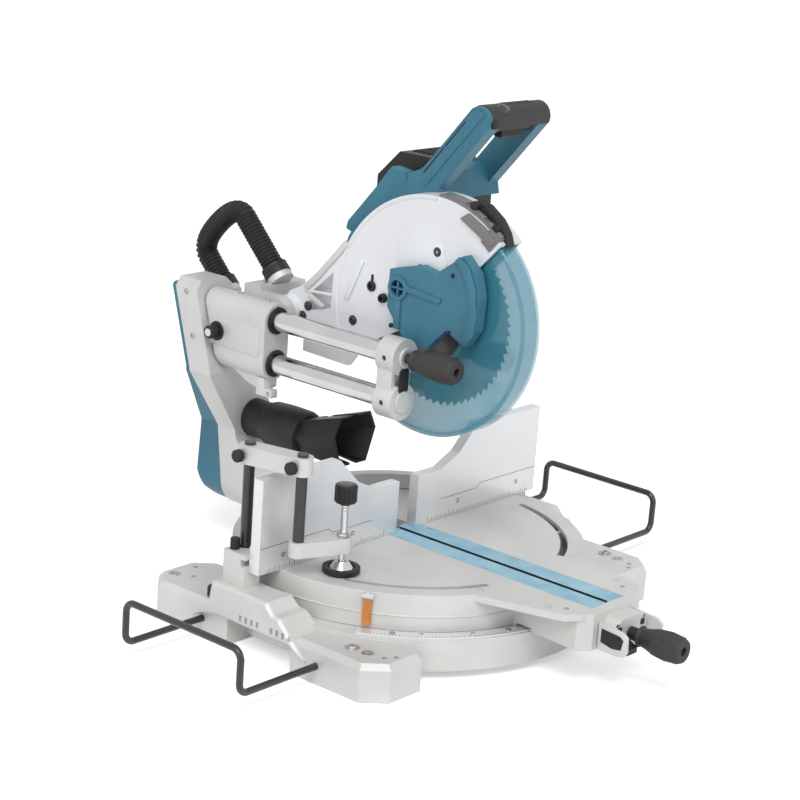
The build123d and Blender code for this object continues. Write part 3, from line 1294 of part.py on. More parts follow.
def motor_rear_cover():
    """The motor's end cover, with air slots in its end wall."""
    body = motor_cover_block(0)
    body = chamfer(body.faces().sort_by(Axis.X)[-1].edges(), 9)
    inner = MOTOR_R - MOTOR_WALL
    body -= rod_x(MOTOR_SPLIT_X - 1, MOTOR_END_X - MOTOR_WALL, MOTOR_Y, MOTOR_Z, inner)
    seat = MOTOR_END_X - MOTOR_WALL - 11
    body += rod_x(seat, MOTOR_END_X - 1, MOTOR_Y, MOTOR_Z, SMALL_BEARING_R + 4)
    body -= rod_x(seat - 1, seat + 11, MOTOR_Y, MOTOR_Z, SMALL_BEARING_R)
    pitch = 2 * (inner - 8) / MOTOR_VENTS
    for index in range(MOTOR_VENTS):
        z = MOTOR_Z - inner + 8 + (index + 0.5) * pitch
        if abs(z - MOTOR_Z) > SMALL_BEARING_R + 6:
            body -= box(MOTOR_END_X - 7, MOTOR_END_X + 1, MOTOR_Y - 22, MOTOR_Y + 22, z - 1.5, z + 1.5)
    return body


def stator():
    inner = ROTOR_R + AIR_GAP
    ring = rod_x(MOTOR_SPLIT_X + 4, MOTOR_SPLIT_X + 56, MOTOR_Y, MOTOR_Z, MOTOR_R - MOTOR_WALL)
    return ring - rod_x(MOTOR_SPLIT_X, MOTOR_END_X, MOTOR_Y, MOTOR_Z, inner)


def handle_frame():
    """The D-shaped handle: two arms on a beam that stands on the case and against the motor."""
    body = None
    for x in (HANDLE_LEFT_X, HANDLE_RIGHT_X - HANDLE_ARM):
        foot, bar = HANDLE_FOOT, (GRIP_BAR_Y, GRIP_BAR_Z)
        arm = loop_x(*foot, HANDLE_ARM_R, *bar, HANDLE_ARM_R, x, x + HANDLE_ARM)
        body = arm if body is None else body + arm
    y0, y1 = HANDLE_BEAM_Y
    low = BLADE_Z + CASE_R - 14
    beam = [
        (y0, low),
        (y1, low),
        (y1, HANDLE_BEAM_TOP - 16),
        (HANDLE_FOOT[0] - 6, HANDLE_BEAM_TOP),
        (y0 + 8, HANDLE_BEAM_TOP - 10),
    ]
    body += prism_x(beam, HANDLE_LEFT_X, HANDLE_RIGHT_X)
    body -= motor_cover_block(0)
    body -= belt_fan(0, CASE_RIGHT_X, MOTOR_START_X)
    body -= rod_x(MOTOR_START_X, MOTOR_SPLIT_X, MOTOR_Y, MOTOR_Z, MOTOR_R)
    body -= rod_x(CASE_LEFT_X - 1, CASE_RIGHT_X, BLADE_Y, BLADE_Z, CASE_R)
    inside = (HANDLE_LEFT_X + HANDLE_ARM - 4, HANDLE_RIGHT_X - HANDLE_ARM + 4)
    body -= rod_x(*inside, GRIP_BAR_Y, GRIP_BAR_Z, GRIP_BAR_R)
    x, z = lock_off_place()
    body -= rod_y(GRIP_BAR_Y - 30, GRIP_BAR_Y - 5, x, z, BUTTON_R + FIT)
    return body


def handle_grip():
    x0 = HANDLE_LEFT_X + HANDLE_ARM - 4
    x1 = HANDLE_RIGHT_X - HANDLE_ARM + 4
    body = rod_x(x0, x1, GRIP_BAR_Y, GRIP_BAR_Z, GRIP_BAR_R)
    for x in (x0 + 4, x1 - 12):
        body += rod_x(x, x + 8, GRIP_BAR_Y, GRIP_BAR_Z, GRIP_BAR_R + 1.5)
    half = TRIGGER_WIDE / 2 + SLIDE_GAP
    pocket_top = GRIP_BAR_Z - GRIP_BAR_R + TRIGGER_DEEP
    trigger = (TRIGGER_X[0] - SLIDE_GAP, TRIGGER_X[1] + SLIDE_GAP)
    body -= box(*trigger, GRIP_BAR_Y - half, GRIP_BAR_Y + half, GRIP_BAR_Z - 2 * GRIP_BAR_R, pocket_top)
    return body


def trigger():
    half = TRIGGER_WIDE / 2
    top = GRIP_BAR_Z - GRIP_BAR_R + TRIGGER_DEEP - 5 - SLIDE_GAP
    low = GRIP_BAR_Z - GRIP_BAR_R - TRIGGER_PROUD
    body = box(*TRIGGER_X, GRIP_BAR_Y - half, GRIP_BAR_Y + half, low, top)
    return fillet(body.faces().sort_by(Axis.Z)[0].edges(), 4)


def lock_off_place():
    return (HANDLE_LEFT_X + HANDLE_ARM / 2, GRIP_BAR_Z - 3)


def lock_off_button():
    x, z = lock_off_place()
    button = rod_y(GRIP_BAR_Y - HANDLE_ARM_R - 4, GRIP_BAR_Y - 9, x, z, BUTTON_R)
    return chamfer(button.edges().group_by(Axis.Y)[0], 1.5)


def shaft_lock_place():
    return polar(BELT_END_R - BELT_WALL - SHAFT_LOCK_R - 0.5, 250)


def shaft_lock():
    y, z = shaft_lock_place()
    pin = rod_x(MOTOR_START_X - BELT_WALL - 0.5, MOTOR_START_X + 8, y, z, SHAFT_LOCK_R)
    return chamfer(pin.edges().group_by(Axis.X)[-1], 1)


def head_bearings():
    rings = []
    spindle = ((BOSS_LEFT_X + 0.6, CASE_RIGHT_X), (BELT_RIGHT_X + 1.5, MOTOR_START_X))
    for x0, x1 in spindle:
        ring = rod_x(x0, x1, BLADE_Y, BLADE_Z, LARGE_BEARING_R)
        rings.append(ring - rod_x(x0 - 1, x1 + 1, BLADE_Y, BLADE_Z, SPINDLE_R + FIT))
    seat = MOTOR_END_X - MOTOR_WALL - 11
    for x0, x1 in ((MOTOR_START_X + 3, MOTOR_START_X + 13), (seat, seat + 10)):
        ring = rod_x(x0, x1, MOTOR_Y, MOTOR_Z, SMALL_BEARING_R)
        rings.append(ring - rod_x(x0 - 1, x1 + 1, MOTOR_Y, MOTOR_Z, ROTOR_SHAFT_R + FIT))
    return rings


def lower_guard():
    inner = GUARD_R - GUARD_WALL
    x0, x1 = GUARD_LEFT_X, GUARD_RIGHT_X
    body = sector_x(inner, GUARD_R, GUARD_FROM, GUARD_TO, x0, x1)
    body += sector_x(GUARD_WINDOW_R, GUARD_R, GUARD_FROM, GUARD_TO, x0, x0 + GUARD_WALL)
    body += sector_x(BOSS_R + 2, GUARD_R, GUARD_FROM, GUARD_TO, x1 - GUARD_WALL, x1)
    hub = rod_x(x1 - GUARD_WALL, x1, BLADE_Y, BLADE_Z, GUARD_HUB_R)
    body += hub
    return body - rod_x(x1 - GUARD_WALL - 1, x1 + 1, BLADE_Y, BLADE_Z, BOSS_R + BELT_GAP)


def saw_blade():
    outline = []
    for index in range(BLADE_TEETH):
        start = 360 * index / BLADE_TEETH
        step = 360 / BLADE_TEETH
        outline.append(polar(BLADE_R, start))
        outline.append(polar(BLADE_R - TOOTH_DEPTH, start + 0.12 * step))
        outline.append(polar(BLADE_R - TOOTH_DEPTH, start + 0.4 * step))
    half = BLADE_THICK / 2
    body = prism_x(outline, -half, half)
    return body - rod_x(-half - 1, half + 1, BLADE_Y, BLADE_Z, BLADE_BORE_R)


def blade_flanges():
    half = BLADE_THICK / 2
    plates = []
    for x0, x1 in ((half, BOSS_LEFT_X - 0.6), (-half - 6, -half)):
        plate = rod_x(x0, x1, BLADE_Y, BLADE_Z, FLANGE_PLATE_R)
        plates.append(plate - rod_x(x0 - 1, x1 + 1, BLADE_Y, BLADE_Z, SPINDLE_R))
    head = extrude(Plane.YZ.offset(-half - 14) * Pos(BLADE_Y, BLADE_Z) * RegularPolygon(SPINDLE_R + 3, 6), 8)
    return [*plates, head]


def spindle():
    half = BLADE_THICK / 2
    body = rod_x(-half - 6, MOTOR_START_X - 0.5, BLADE_Y, BLADE_Z, SPINDLE_R)
    body += rod_x(-half, half, BLADE_Y, BLADE_Z, BLADE_BORE_R)
    return body + rod_x(BELT_LEFT_X, BELT_RIGHT_X, BLADE_Y, BLADE_Z, SPINDLE_PULLEY_R)


def rotor():
    body = rod_x(BELT_LEFT_X, MOTOR_END_X - MOTOR_WALL - 2, MOTOR_Y, MOTOR_Z, ROTOR_SHAFT_R)
    body += rod_x(BELT_LEFT_X, BELT_RIGHT_X, MOTOR_Y, MOTOR_Z, MOTOR_PULLEY_R)
    body += rod_x(MOTOR_SPLIT_X + 6, MOTOR_SPLIT_X + 54, MOTOR_Y, MOTOR_Z, ROTOR_R)
    fan_x = MOTOR_SPLIT_X + 59
    body += rod_x(fan_x, fan_x + 2, MOTOR_Y, MOTOR_Z, ROTOR_R + 9)
    for index in range(8):
        blade = box(fan_x + 2, fan_x + 10, -1, 1, ROTOR_SHAFT_R - 1, ROTOR_R + 9)
        body += Pos(0, MOTOR_Y, MOTOR_Z) * Rot(45 * index, 0, 0) * blade
    return body + rod_x(fan_x + 13, fan_x + 29, MOTOR_Y, MOTOR_Z, ROTOR_R * 0.55)


def mirrored(shape):
    return mirror(shape, Plane.YZ)


NODES = {
    "base_casting": base_casting(),
    "mitre_scale_plate": mitre_scale_plate(),
    "scale_screws": scale_screws(),
    "pivot_bolt": pivot_bolt(),
    "fence_base": fence_base(),
    "fence_clamps": fence_clamps(),
    "lower_fence_right": lower_fence(),
    "lower_fence_left": mirrored(lower_fence()),
    "upper_fence_right": upper_fence(),
    "upper_fence_left": mirrored(upper_fence()),
    "work_holder_right": work_holder(1, HOLDER_RIGHT_SHIFT, HOLDER_RIGHT_OUT),
    "work_holder_left": work_holder(-1, 0, 0),
    "holder_knobs": holder_knobs(),
    "vise_post": vise_post(),
    "vise_bracket": vise_bracket(),
    "vise_clamp_screws": vise_clamp_screws(),
    "vise_rod": vise_rod(),
    "vise_arm": vise_arm(),
    "vise_pad": vise_pad(),
    "vise_screw": vise_screw(),
    "vise_knob": vise_knob(),
    "turntable_casting": turntable_casting(),
    "kerf_boards": kerf_boards(),
    "kerf_screws": kerf_screws(),
    "mitre_pointer": mitre_pointer(),
    "front_housing": front_housing(),
    "bevel_pivot_pin": bevel_pivot_pin(),
    "mitre_grip": mitre_grip(),
    "mitre_lock_rod": mitre_lock_rod(),
    "mitre_latch": mitre_latch(),
    "arm_casting": arm_casting(),
    "arm_rear_cover": arm_rear_cover(),
    "slide_poles": slide_poles(),
    "front_bracket": front_bracket(),
    "bevel_knob": bevel_knob(),
    "dust_scoop": dust_scoop(),
    "dust_hose": dust_hose(),
    "carriage_block": carriage_block(),
    "linear_bearings": linear_bearings(),
    "head_pivot_pin": head_pivot_pin(),
    "slide_lock_screw": slide_lock_screw(),
    "blade_case": blade_case(),
    "top_cover": top_cover(),
    "centre_cover": centre_cover(),
    "belt_housing": belt_housing(),
    "drive_belt": drive_belt(),
    "motor_housing": motor_housing(),
    "motor_rear_cover": motor_rear_cover(),
    "stator": stator(),
    "handle_frame": handle_frame(),
    "handle_grip": handle_grip(),
    "head_bearings": head_bearings(),
    "trigger": trigger(),
    "lock_off_button": lock_off_button(),
    "shaft_lock": shaft_lock(),
    "lower_guard": lower_guard(),
    "saw_blade": saw_blade(),
    "blade_flanges": blade_flanges(),
    "spindle": spindle(),
    "rotor": rotor(),
}

os.makedirs("parts", exist_ok=True)
for name, shape in NODES.items():
    solids = shape if isinstance(shape, list) else [shape]
    pieces = [solid for piece in solids for solid in piece.solids()]
    export_step(Compound(children=pieces), f"parts/{name}.step")
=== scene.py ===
import json
import math

import bmesh
import bpy
from mathutils import Matrix, Vector


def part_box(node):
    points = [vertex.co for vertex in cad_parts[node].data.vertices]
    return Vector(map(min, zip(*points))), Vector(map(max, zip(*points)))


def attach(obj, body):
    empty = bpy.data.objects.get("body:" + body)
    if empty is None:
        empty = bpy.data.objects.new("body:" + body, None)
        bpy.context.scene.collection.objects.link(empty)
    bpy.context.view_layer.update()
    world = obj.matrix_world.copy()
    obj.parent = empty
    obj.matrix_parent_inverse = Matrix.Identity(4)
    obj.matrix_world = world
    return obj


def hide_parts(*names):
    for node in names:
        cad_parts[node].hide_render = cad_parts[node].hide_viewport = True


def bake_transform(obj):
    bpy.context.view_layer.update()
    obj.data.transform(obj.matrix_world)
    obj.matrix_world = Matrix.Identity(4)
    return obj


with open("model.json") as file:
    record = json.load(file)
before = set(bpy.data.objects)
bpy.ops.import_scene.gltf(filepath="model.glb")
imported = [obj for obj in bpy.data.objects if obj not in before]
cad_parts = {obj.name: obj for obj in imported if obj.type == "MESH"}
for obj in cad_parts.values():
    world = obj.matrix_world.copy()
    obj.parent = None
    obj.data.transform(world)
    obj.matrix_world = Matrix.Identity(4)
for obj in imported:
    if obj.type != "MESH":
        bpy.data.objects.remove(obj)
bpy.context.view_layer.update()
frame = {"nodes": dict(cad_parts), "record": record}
nodes = frame["nodes"]

# Places on the saw, in metres
TABLE_Z = 0.112
DRUM_R = 0.268
SCALE_TOP = 0.0605
FOOT_TOP = 0.054
BLADE_AXIS = (0.0, -0.034, 0.447)
MOTOR_AXIS = (0.0822, 0.5738)
CASE_LEFT = -0.029
COVER_LEFT = -0.046
POLE_X = -0.080
POLE_HEIGHTS = (0.400, 0.334)
HEAD_PIVOT = (0.236, 0.405)
SLIDE_LOCK = (0.311, 0.367)
CARRIAGE_FRONT = 0.212
BRACKET_FRONT = -0.042
BELT_COVER_RIGHT = 0.046
GRIP_BAR = (-0.078, 0.738)
GRIP_COVER_R = 0.0216
SCOOP_AXIS = (-0.020, 0.216)
HOUSING_FRONT = -0.414
LOCK_ROD_Z = 0.080
VISE_SCREW = (-0.208, -0.060)
VISE_PITCH = 0.005
HOSE_R = 0.017
HOSE_RIBS = 52
HOSE_RIB_DEPTH = 0.0019
HOSE_CUFF_R = 0.0212
HOSE_ROUTE = (
    (-0.016, 0.2760, 0.4500),
    (-0.016, 0.3326, 0.5066),
    (-0.016, 0.3708, 0.5448),
    (-0.016, 0.4473, 0.4683),
    (-0.016, 0.4091, 0.4301),
    (-0.016, 0.3850, 0.4060),
)

# Colours: most finishes have a main tone and a second one
SILVER = (0.66, 0.66, 0.645)
SILVER_DARK = (0.57, 0.57, 0.555)
FENCE_SILVER = (0.76, 0.76, 0.77)
FENCE_SHADE = (0.68, 0.68, 0.70)
CASE_WHITE = (0.78, 0.795, 0.82)
CASE_SHADE = (0.71, 0.72, 0.735)
TEAL = (0.040, 0.155, 0.225)
TEAL_LIGHT = (0.056, 0.195, 0.275)
BLACK = (0.012, 0.012, 0.013)
BLACK_LIGHT = (0.021, 0.021, 0.022)
CHARCOAL = (0.034, 0.031, 0.031)
CHARCOAL_LIGHT = (0.050, 0.046, 0.045)
COVER_GREY = (0.165, 0.158, 0.155)
COVER_GREY_LIGHT = (0.20, 0.193, 0.19)
HOSE_BLACK = (0.009, 0.009, 0.010)
STEEL = (0.46, 0.46, 0.47)
STEEL_DARK = (0.36, 0.36, 0.37)
POLE_BRIGHT = (0.60, 0.60, 0.61)
POLE_SHADE = (0.50, 0.50, 0.51)
BLADE_GREY = (0.13, 0.12, 0.115)
BLADE_SHADE = (0.10, 0.095, 0.09)
GUARD_CYAN = (0.085, 0.37, 0.49)
GUARD_DEEP = (0.065, 0.33, 0.45)
BOARD_BLUE = (0.20, 0.43, 0.57)
BOARD_WORN = (0.31, 0.53, 0.65)
POINTER_ORANGE = (0.62, 0.22, 0.03)
POINTER_SHADE = (0.50, 0.16, 0.02)
WHITE = (1.0, 1.0, 1.0)


# Shader groups

def group(name, inputs, outputs):
    """A shader group with named sockets: (its tree, its input node, its output node)."""
    tree = bpy.data.node_groups.new(name, "ShaderNodeTree")
    for label, kind, value in inputs:
        socket = tree.interface.new_socket(label, in_out="INPUT", socket_type=kind)
        socket.default_value = value
    for label, kind in outputs:
        tree.interface.new_socket(label, in_out="OUTPUT", socket_type=kind)
    return tree, tree.nodes.new("NodeGroupInput"), tree.nodes.new("NodeGroupOutput")


def noise(tree, scale, detail=3.0, roughness=0.55):
    """A noise texture; its scale is a number or a socket."""
    node = tree.nodes.new("ShaderNodeTexNoise")
    node.inputs["Detail"].default_value = detail
    node.inputs["Roughness"].default_value = roughness
    if isinstance(scale, (int, float)):
        node.inputs["Scale"].default_value = scale
    else:
        tree.links.new(scale, node.inputs["Scale"])
    return node


def ramp(tree, source, low, high):
    """Spreads a value that runs from low to high over 0 to 1."""
    node = tree.nodes.new("ShaderNodeMapRange")
    node.inputs["From Min"].default_value = low
    node.inputs["From Max"].default_value = high
    tree.links.new(source, node.inputs["Value"])
    return node.outputs["Result"]


def maths(tree, kind, first, second):
    """Two values, each a number or a socket, put together."""
    node = tree.nodes.new("ShaderNodeMath")
    node.operation = kind
    for value, socket in ((first, node.inputs[0]), (second, node.inputs[1])):
        if isinstance(value, (int, float)):
            socket.default_value = value
        else:
            tree.links.new(value, socket)
    return node.outputs[0]


def moulded_grain():
    """Fine pits and slow cloudiness, as on castings and moulded plastic."""
    tree, entry, out = group(
        "moulded_grain",
        [("Pit Scale", "NodeSocketFloat", 900.0), ("Cloud Scale", "NodeSocketFloat", 14.0)],
        [("Pits", "NodeSocketFloat"), ("Cloud", "NodeSocketFloat")],
    )
    place = tree.nodes.new("ShaderNodeTexCoord")
    pits = noise(tree, entry.outputs["Pit Scale"], 2.0)
    cloud = noise(tree, entry.outputs["Cloud Scale"], 4.0)
    for texture in (pits, cloud):
        tree.links.new(place.outputs["Object"], texture.inputs["Vector"])
    tree.links.new(pits.outputs["Fac"], out.inputs["Pits"])
    tree.links.new(ramp(tree, cloud.outputs["Fac"], 0.32, 0.68), out.inputs["Cloud"])
    return tree


def worked_lines():
    """Fine parallel lines left by a tool, stretched along one axis."""
    tree, entry, out = group(
        "worked_lines",
        [("Stretch", "NodeSocketVector", (1.0, 1.0, 1.0))],
        [("Lines", "NodeSocketFloat")],
    )
    place = tree.nodes.new("ShaderNodeTexCoord")
    scale = tree.nodes.new("ShaderNodeVectorMath")
    scale.operation = "MULTIPLY"
    tree.links.new(place.outputs["Object"], scale.inputs[0])
    tree.links.new(entry.outputs["Stretch"], scale.inputs[1])
    lines = noise(tree, 1.0, 3.0, 0.7)
    tree.links.new(scale.outputs["Vector"], lines.inputs["Vector"])
    tree.links.new(lines.outputs["Fac"], out.inputs["Lines"])
    return tree


def rubbed_edges():
    """Where the surface turns sharply, broken up so that the wear looks handled; the mask carries both edge
    wear and a painted edge highlight.
    """
    tree, entry, out = group(
        "rubbed_edges",
        [("Width", "NodeSocketFloat", 0.0015), ("Broken", "NodeSocketFloat", 60.0)],
        [("Mask", "NodeSocketFloat"), ("Soft Normal", "NodeSocketVector")],
    )
    soft = tree.nodes.new("ShaderNodeBevel")
    soft.samples = 4
    tree.links.new(entry.outputs["Width"], soft.inputs["Radius"])
    face = tree.nodes.new("ShaderNodeNewGeometry")
    turn = tree.nodes.new("ShaderNodeVectorMath")
    turn.operation = "DOT_PRODUCT"
    tree.links.new(soft.outputs["Normal"], turn.inputs[0])
    tree.links.new(face.outputs["True Normal"], turn.inputs[1])
    place = tree.nodes.new("ShaderNodeTexCoord")
    patches = noise(tree, entry.outputs["Broken"], 5.0, 0.65)
    tree.links.new(place.outputs["Object"], patches.inputs["Vector"])
    bend = ramp(tree, turn.outputs["Value"], 0.985, 0.80)
    chips = ramp(tree, patches.outputs["Fac"], 0.40, 0.62)
    tree.links.new(maths(tree, "MULTIPLY", bend, chips), out.inputs["Mask"])
    tree.links.new(soft.outputs["Normal"], out.inputs["Soft Normal"])
    return tree


GRAIN = moulded_grain()
LINES = worked_lines()
EDGES = rubbed_edges()


def place_group(tree, which, **values):
    """A shader group in a material, with its own values."""
    node = tree.nodes.new("ShaderNodeGroup")
    node.node_tree = which
    for label, value in values.items():
        node.inputs[label.replace("_", " ")].default_value = value
    return node


def blend_colours(tree, factor, first, second):
    """Mixes two colours, each a tuple or a socket, by a factor socket."""
    mix = tree.nodes.new("ShaderNodeMix")
    mix.data_type = "RGBA"
    tree.links.new(factor, mix.inputs["Factor"])
    for value, socket in ((first, mix.inputs[6]), (second, mix.inputs[7])):
        if isinstance(value, tuple):
            socket.default_value = (*value, 1.0)
        else:
            tree.links.new(value, socket)
    return mix.outputs[2]


def spread(tree, source, low, high):
    """Maps a 0 to 1 value to low to high."""
    node = tree.nodes.new("ShaderNodeMapRange")
    node.inputs["To Min"].default_value = low
    node.inputs["To Max"].default_value = high
    tree.links.new(source, node.inputs["Value"])
    return node.outputs["Result"]


def bump(tree, height, strength, distance, normal=None):
    """A bumped normal from a height."""
    node = tree.nodes.new("ShaderNodeBump")
    node.inputs["Strength"].default_value = strength
    node.inputs["Distance"].default_value = distance
    tree.links.new(height, node.inputs["Height"])
    if normal is not None:
        tree.links.new(normal, node.inputs["Normal"])
    return node.outputs["Normal"]


def material(name):
    """A new material: (it, its tree, its shader)."""
    made = bpy.data.materials.new(name)
    made.use_nodes = True
    tree = made.node_tree
    return made, tree, tree.nodes["Principled BSDF"]


def surface(name, tone, shade, rough, pits, cloud, pit_depth, metal=0.0, edge_wear_and_highlight=None, edge=0.0015,
            lines=None, line_weight=1.0, coat=0.0, shine=0.5):
    """A worked surface: two tones in soft clouds, fine pits or tool lines, and edges lightened, partly as
    rubbed wear and partly as a painted highlight.
    """
    made, tree, shader = material(name)
    shader.inputs["Metallic"].default_value = metal
    shader.inputs["Specular IOR Level"].default_value = shine
    shader.inputs["Coat Weight"].default_value = coat
    shader.inputs["Coat Roughness"].default_value = 0.15
    grain = place_group(tree, GRAIN, Pit_Scale=pits, Cloud_Scale=cloud)
    rim = place_group(tree, EDGES, Width=edge)
    colour = blend_colours(tree, grain.outputs["Cloud"], shade, tone)
    height = grain.outputs["Pits"]
    if lines:
        tool = place_group(tree, LINES, Stretch=lines)
        height = maths(tree, "ADD", height, maths(tree, "MULTIPLY", tool.outputs["Lines"], line_weight))
        colour = blend_colours(tree, ramp(tree, tool.outputs["Lines"], 0.3, 0.75), colour, tone)
    # Lighter colour on the edges: partly rubbed wear, partly a painted edge highlight.
    if edge_wear_and_highlight:
        colour = blend_colours(tree, rim.outputs["Mask"], colour, edge_wear_and_highlight)
    tree.links.new(colour, shader.inputs["Base Color"])
    tree.links.new(spread(tree, grain.outputs["Cloud"], *rough), shader.inputs["Roughness"])
    normal = bump(tree, height, pit_depth, 0.0004, rim.outputs["Soft Normal"])
    tree.links.new(normal, shader.inputs["Normal"])
    return made


def ground_blade():
    """Blade steel with the round marks of grinding about its axis."""
    made, tree, shader = material("blade_steel")
    shader.inputs["Metallic"].default_value = 0.9
    place = tree.nodes.new("ShaderNodeTexCoord")
    centre = tree.nodes.new("ShaderNodeMapping")
    centre.vector_type = "TEXTURE"
    centre.inputs["Location"].default_value = BLADE_AXIS
    tree.links.new(place.outputs["Object"], centre.inputs["Vector"])
    flat = tree.nodes.new("ShaderNodeVectorMath")
    flat.operation = "MULTIPLY"
    flat.inputs[1].default_value = (0.0, 1.0, 1.0)
    tree.links.new(centre.outputs["Vector"], flat.inputs[0])
    reach = tree.nodes.new("ShaderNodeVectorMath")
    reach.operation = "LENGTH"
    tree.links.new(flat.outputs["Vector"], reach.inputs[0])
    rings = tree.nodes.new("ShaderNodeTexNoise")
    rings.noise_dimensions = "1D"
    rings.inputs["Scale"].default_value = 220.0
    rings.inputs["Detail"].default_value = 2.0
    tree.links.new(reach.outputs["Value"], rings.inputs["W"])
    grain = place_group(tree, GRAIN, Pit_Scale=400.0, Cloud_Scale=30.0)
    marks = ramp(tree, rings.outputs["Fac"], 0.3, 0.7)
    colour = blend_colours(tree, marks, BLADE_SHADE, BLADE_GREY)
    tree.links.new(colour, shader.inputs["Base Color"])
    tree.links.new(spread(tree, grain.outputs["Cloud"], 0.30, 0.45), shader.inputs["Roughness"])
    tree.links.new(bump(tree, marks, 0.05, 0.0002), shader.inputs["Normal"])
    return made


def clear_guard():
    """Tinted clear plastic: more tint and gloss where it is seen edge on, with faint scuffs."""
    made, tree, shader = material("clear_guard")
    shader.inputs["IOR"].default_value = 1.5
    shader.inputs["Coat Weight"].default_value = 0.6
    shader.inputs["Coat Roughness"].default_value = 0.06
    grain = place_group(tree, GRAIN, Pit_Scale=350.0, Cloud_Scale=6.0)
    scuffs = place_group(tree, LINES, Stretch=(60.0, 420.0, 60.0))
    colour = blend_colours(tree, grain.outputs["Cloud"], GUARD_DEEP, GUARD_CYAN)
    tree.links.new(colour, shader.inputs["Base Color"])
    tree.links.new(spread(tree, scuffs.outputs["Lines"], 0.06, 0.20), shader.inputs["Roughness"])
    facing = tree.nodes.new("ShaderNodeLayerWeight")
    facing.inputs["Blend"].default_value = 0.25
    tree.links.new(spread(tree, facing.outputs["Facing"], 0.34, 0.74), shader.inputs["Alpha"])
    return made


# The last colour of each finish lightens its edges: partly wear, partly a painted highlight.
MATERIALS = {
    "cast_alu": surface("cast_alu", SILVER, SILVER_DARK, rough=(0.50, 0.62), pits=1400.0, cloud=9.0,
                        pit_depth=0.30, metal=0.35, edge_wear_and_highlight=(0.74, 0.74, 0.73)),
    "fence_alu": surface("fence_alu", FENCE_SILVER, FENCE_SHADE, rough=(0.30, 0.42), pits=900.0, cloud=12.0,
                         pit_depth=0.12, metal=0.5, edge_wear_and_highlight=(0.85, 0.85, 0.85), edge=0.001,
                         lines=(3.0, 900.0, 900.0), line_weight=1.5),
    "case_paint": surface("case_paint", CASE_WHITE, CASE_SHADE, rough=(0.34, 0.44), pits=700.0, cloud=7.0,
                          pit_depth=0.10, metal=0.1, edge_wear_and_highlight=(0.84, 0.85, 0.86), coat=0.15),
    "teal_plastic": surface("teal_plastic", TEAL_LIGHT, TEAL, rough=(0.36, 0.46), pits=1600.0, cloud=11.0,
                            pit_depth=0.22, edge_wear_and_highlight=(0.09, 0.25, 0.34), shine=0.28),
    "black_plastic": surface("black_plastic", BLACK_LIGHT, BLACK, rough=(0.42, 0.55), pits=1500.0, cloud=16.0,
                             pit_depth=0.30, edge_wear_and_highlight=(0.05, 0.05, 0.05), shine=0.3),
    "grip_rubber": surface("grip_rubber", CHARCOAL_LIGHT, CHARCOAL, rough=(0.55, 0.70), pits=1100.0,
                           cloud=20.0, pit_depth=0.45, edge_wear_and_highlight=(0.08, 0.075, 0.07), shine=0.3),
    "hose_rubber": surface("hose_rubber", BLACK, HOSE_BLACK, rough=(0.45, 0.60), pits=1200.0, cloud=25.0,
                           pit_depth=0.25, edge_wear_and_highlight=(0.03, 0.03, 0.03), shine=0.3),
    "grey_plastic": surface("grey_plastic", COVER_GREY_LIGHT, COVER_GREY, rough=(0.40, 0.50), pits=1500.0,
                            cloud=14.0, pit_depth=0.25, edge_wear_and_highlight=(0.28, 0.27, 0.265)),
    "chrome": surface("chrome", POLE_BRIGHT, POLE_SHADE, rough=(0.10, 0.18), pits=600.0, cloud=18.0,
                      pit_depth=0.04, metal=1.0, edge=0.0008, lines=(1500.0, 4.0, 1500.0), line_weight=2.0),
    "steel": surface("steel", STEEL, STEEL_DARK, rough=(0.28, 0.40), pits=900.0, cloud=40.0,
                     pit_depth=0.15, metal=1.0, edge_wear_and_highlight=(0.65, 0.65, 0.65), edge=0.0008),
    "blade_steel": ground_blade(),
    "black_steel": surface("black_steel", BLACK_LIGHT, HOSE_BLACK, rough=(0.26, 0.38), pits=800.0, cloud=18.0,
                           pit_depth=0.12, edge_wear_and_highlight=(0.08, 0.08, 0.08), coat=0.3),
    "clear_guard": clear_guard(),
    "kerf_blue": surface("kerf_blue", BOARD_BLUE, BOARD_WORN, rough=(0.34, 0.48), pits=900.0, cloud=26.0,
                         pit_depth=0.18, edge_wear_and_highlight=(0.45, 0.68, 0.78)),
    "pointer_orange": surface("pointer_orange", POINTER_ORANGE, POINTER_SHADE, rough=(0.18, 0.28), pits=700.0,
                              cloud=60.0, pit_depth=0.10, edge_wear_and_highlight=(0.80, 0.40, 0.10), edge=0.0006, coat=0.5),
}

for part in frame["record"]["subparts"]:
    shell = nodes[part["node"]]
    shell.data.materials.clear()
    shell.data.materials.append(MATERIALS[part["material_slot"]])


# Shaping tools: each adds to a bmesh, in metres, where the form belongs on the saw

ACROSS = Matrix(((0, 0, 1), (1, 0, 0), (0, 1, 0))).to_4x4()
BLADE_FRAME = Matrix.Translation(BLADE_AXIS) @ ACROSS
MITRE_FRAME = Matrix(((0, 1, 0), (-1, 0, 0), (0, 0, 1))).to_4x4()
LEFT, RIGHT = (-1, 0, 0), (1, 0, 0)
FRONT, REAR = (0, -1, 0), (0, 1, 0)
UP = (0, 0, 1)


def add(shape, form, place=None):
    """Puts a finished form into a shape, moved to its place."""
    if place is not None:
        bmesh.ops.transform(form, matrix=place, verts=form.verts[:])
    mesh = bpy.data.meshes.new("form")
    form.to_mesh(mesh)
    form.free()
    shape.from_mesh(mesh)
    bpy.data.meshes.remove(mesh)


def along(axis, across, up, far):
    """A point from its two coordinates across an axis and its place on the axis."""
    if axis == "X":
        return (far, across, up)
    if axis == "Y":
        return (across, far, up)
    return (across, up, far)


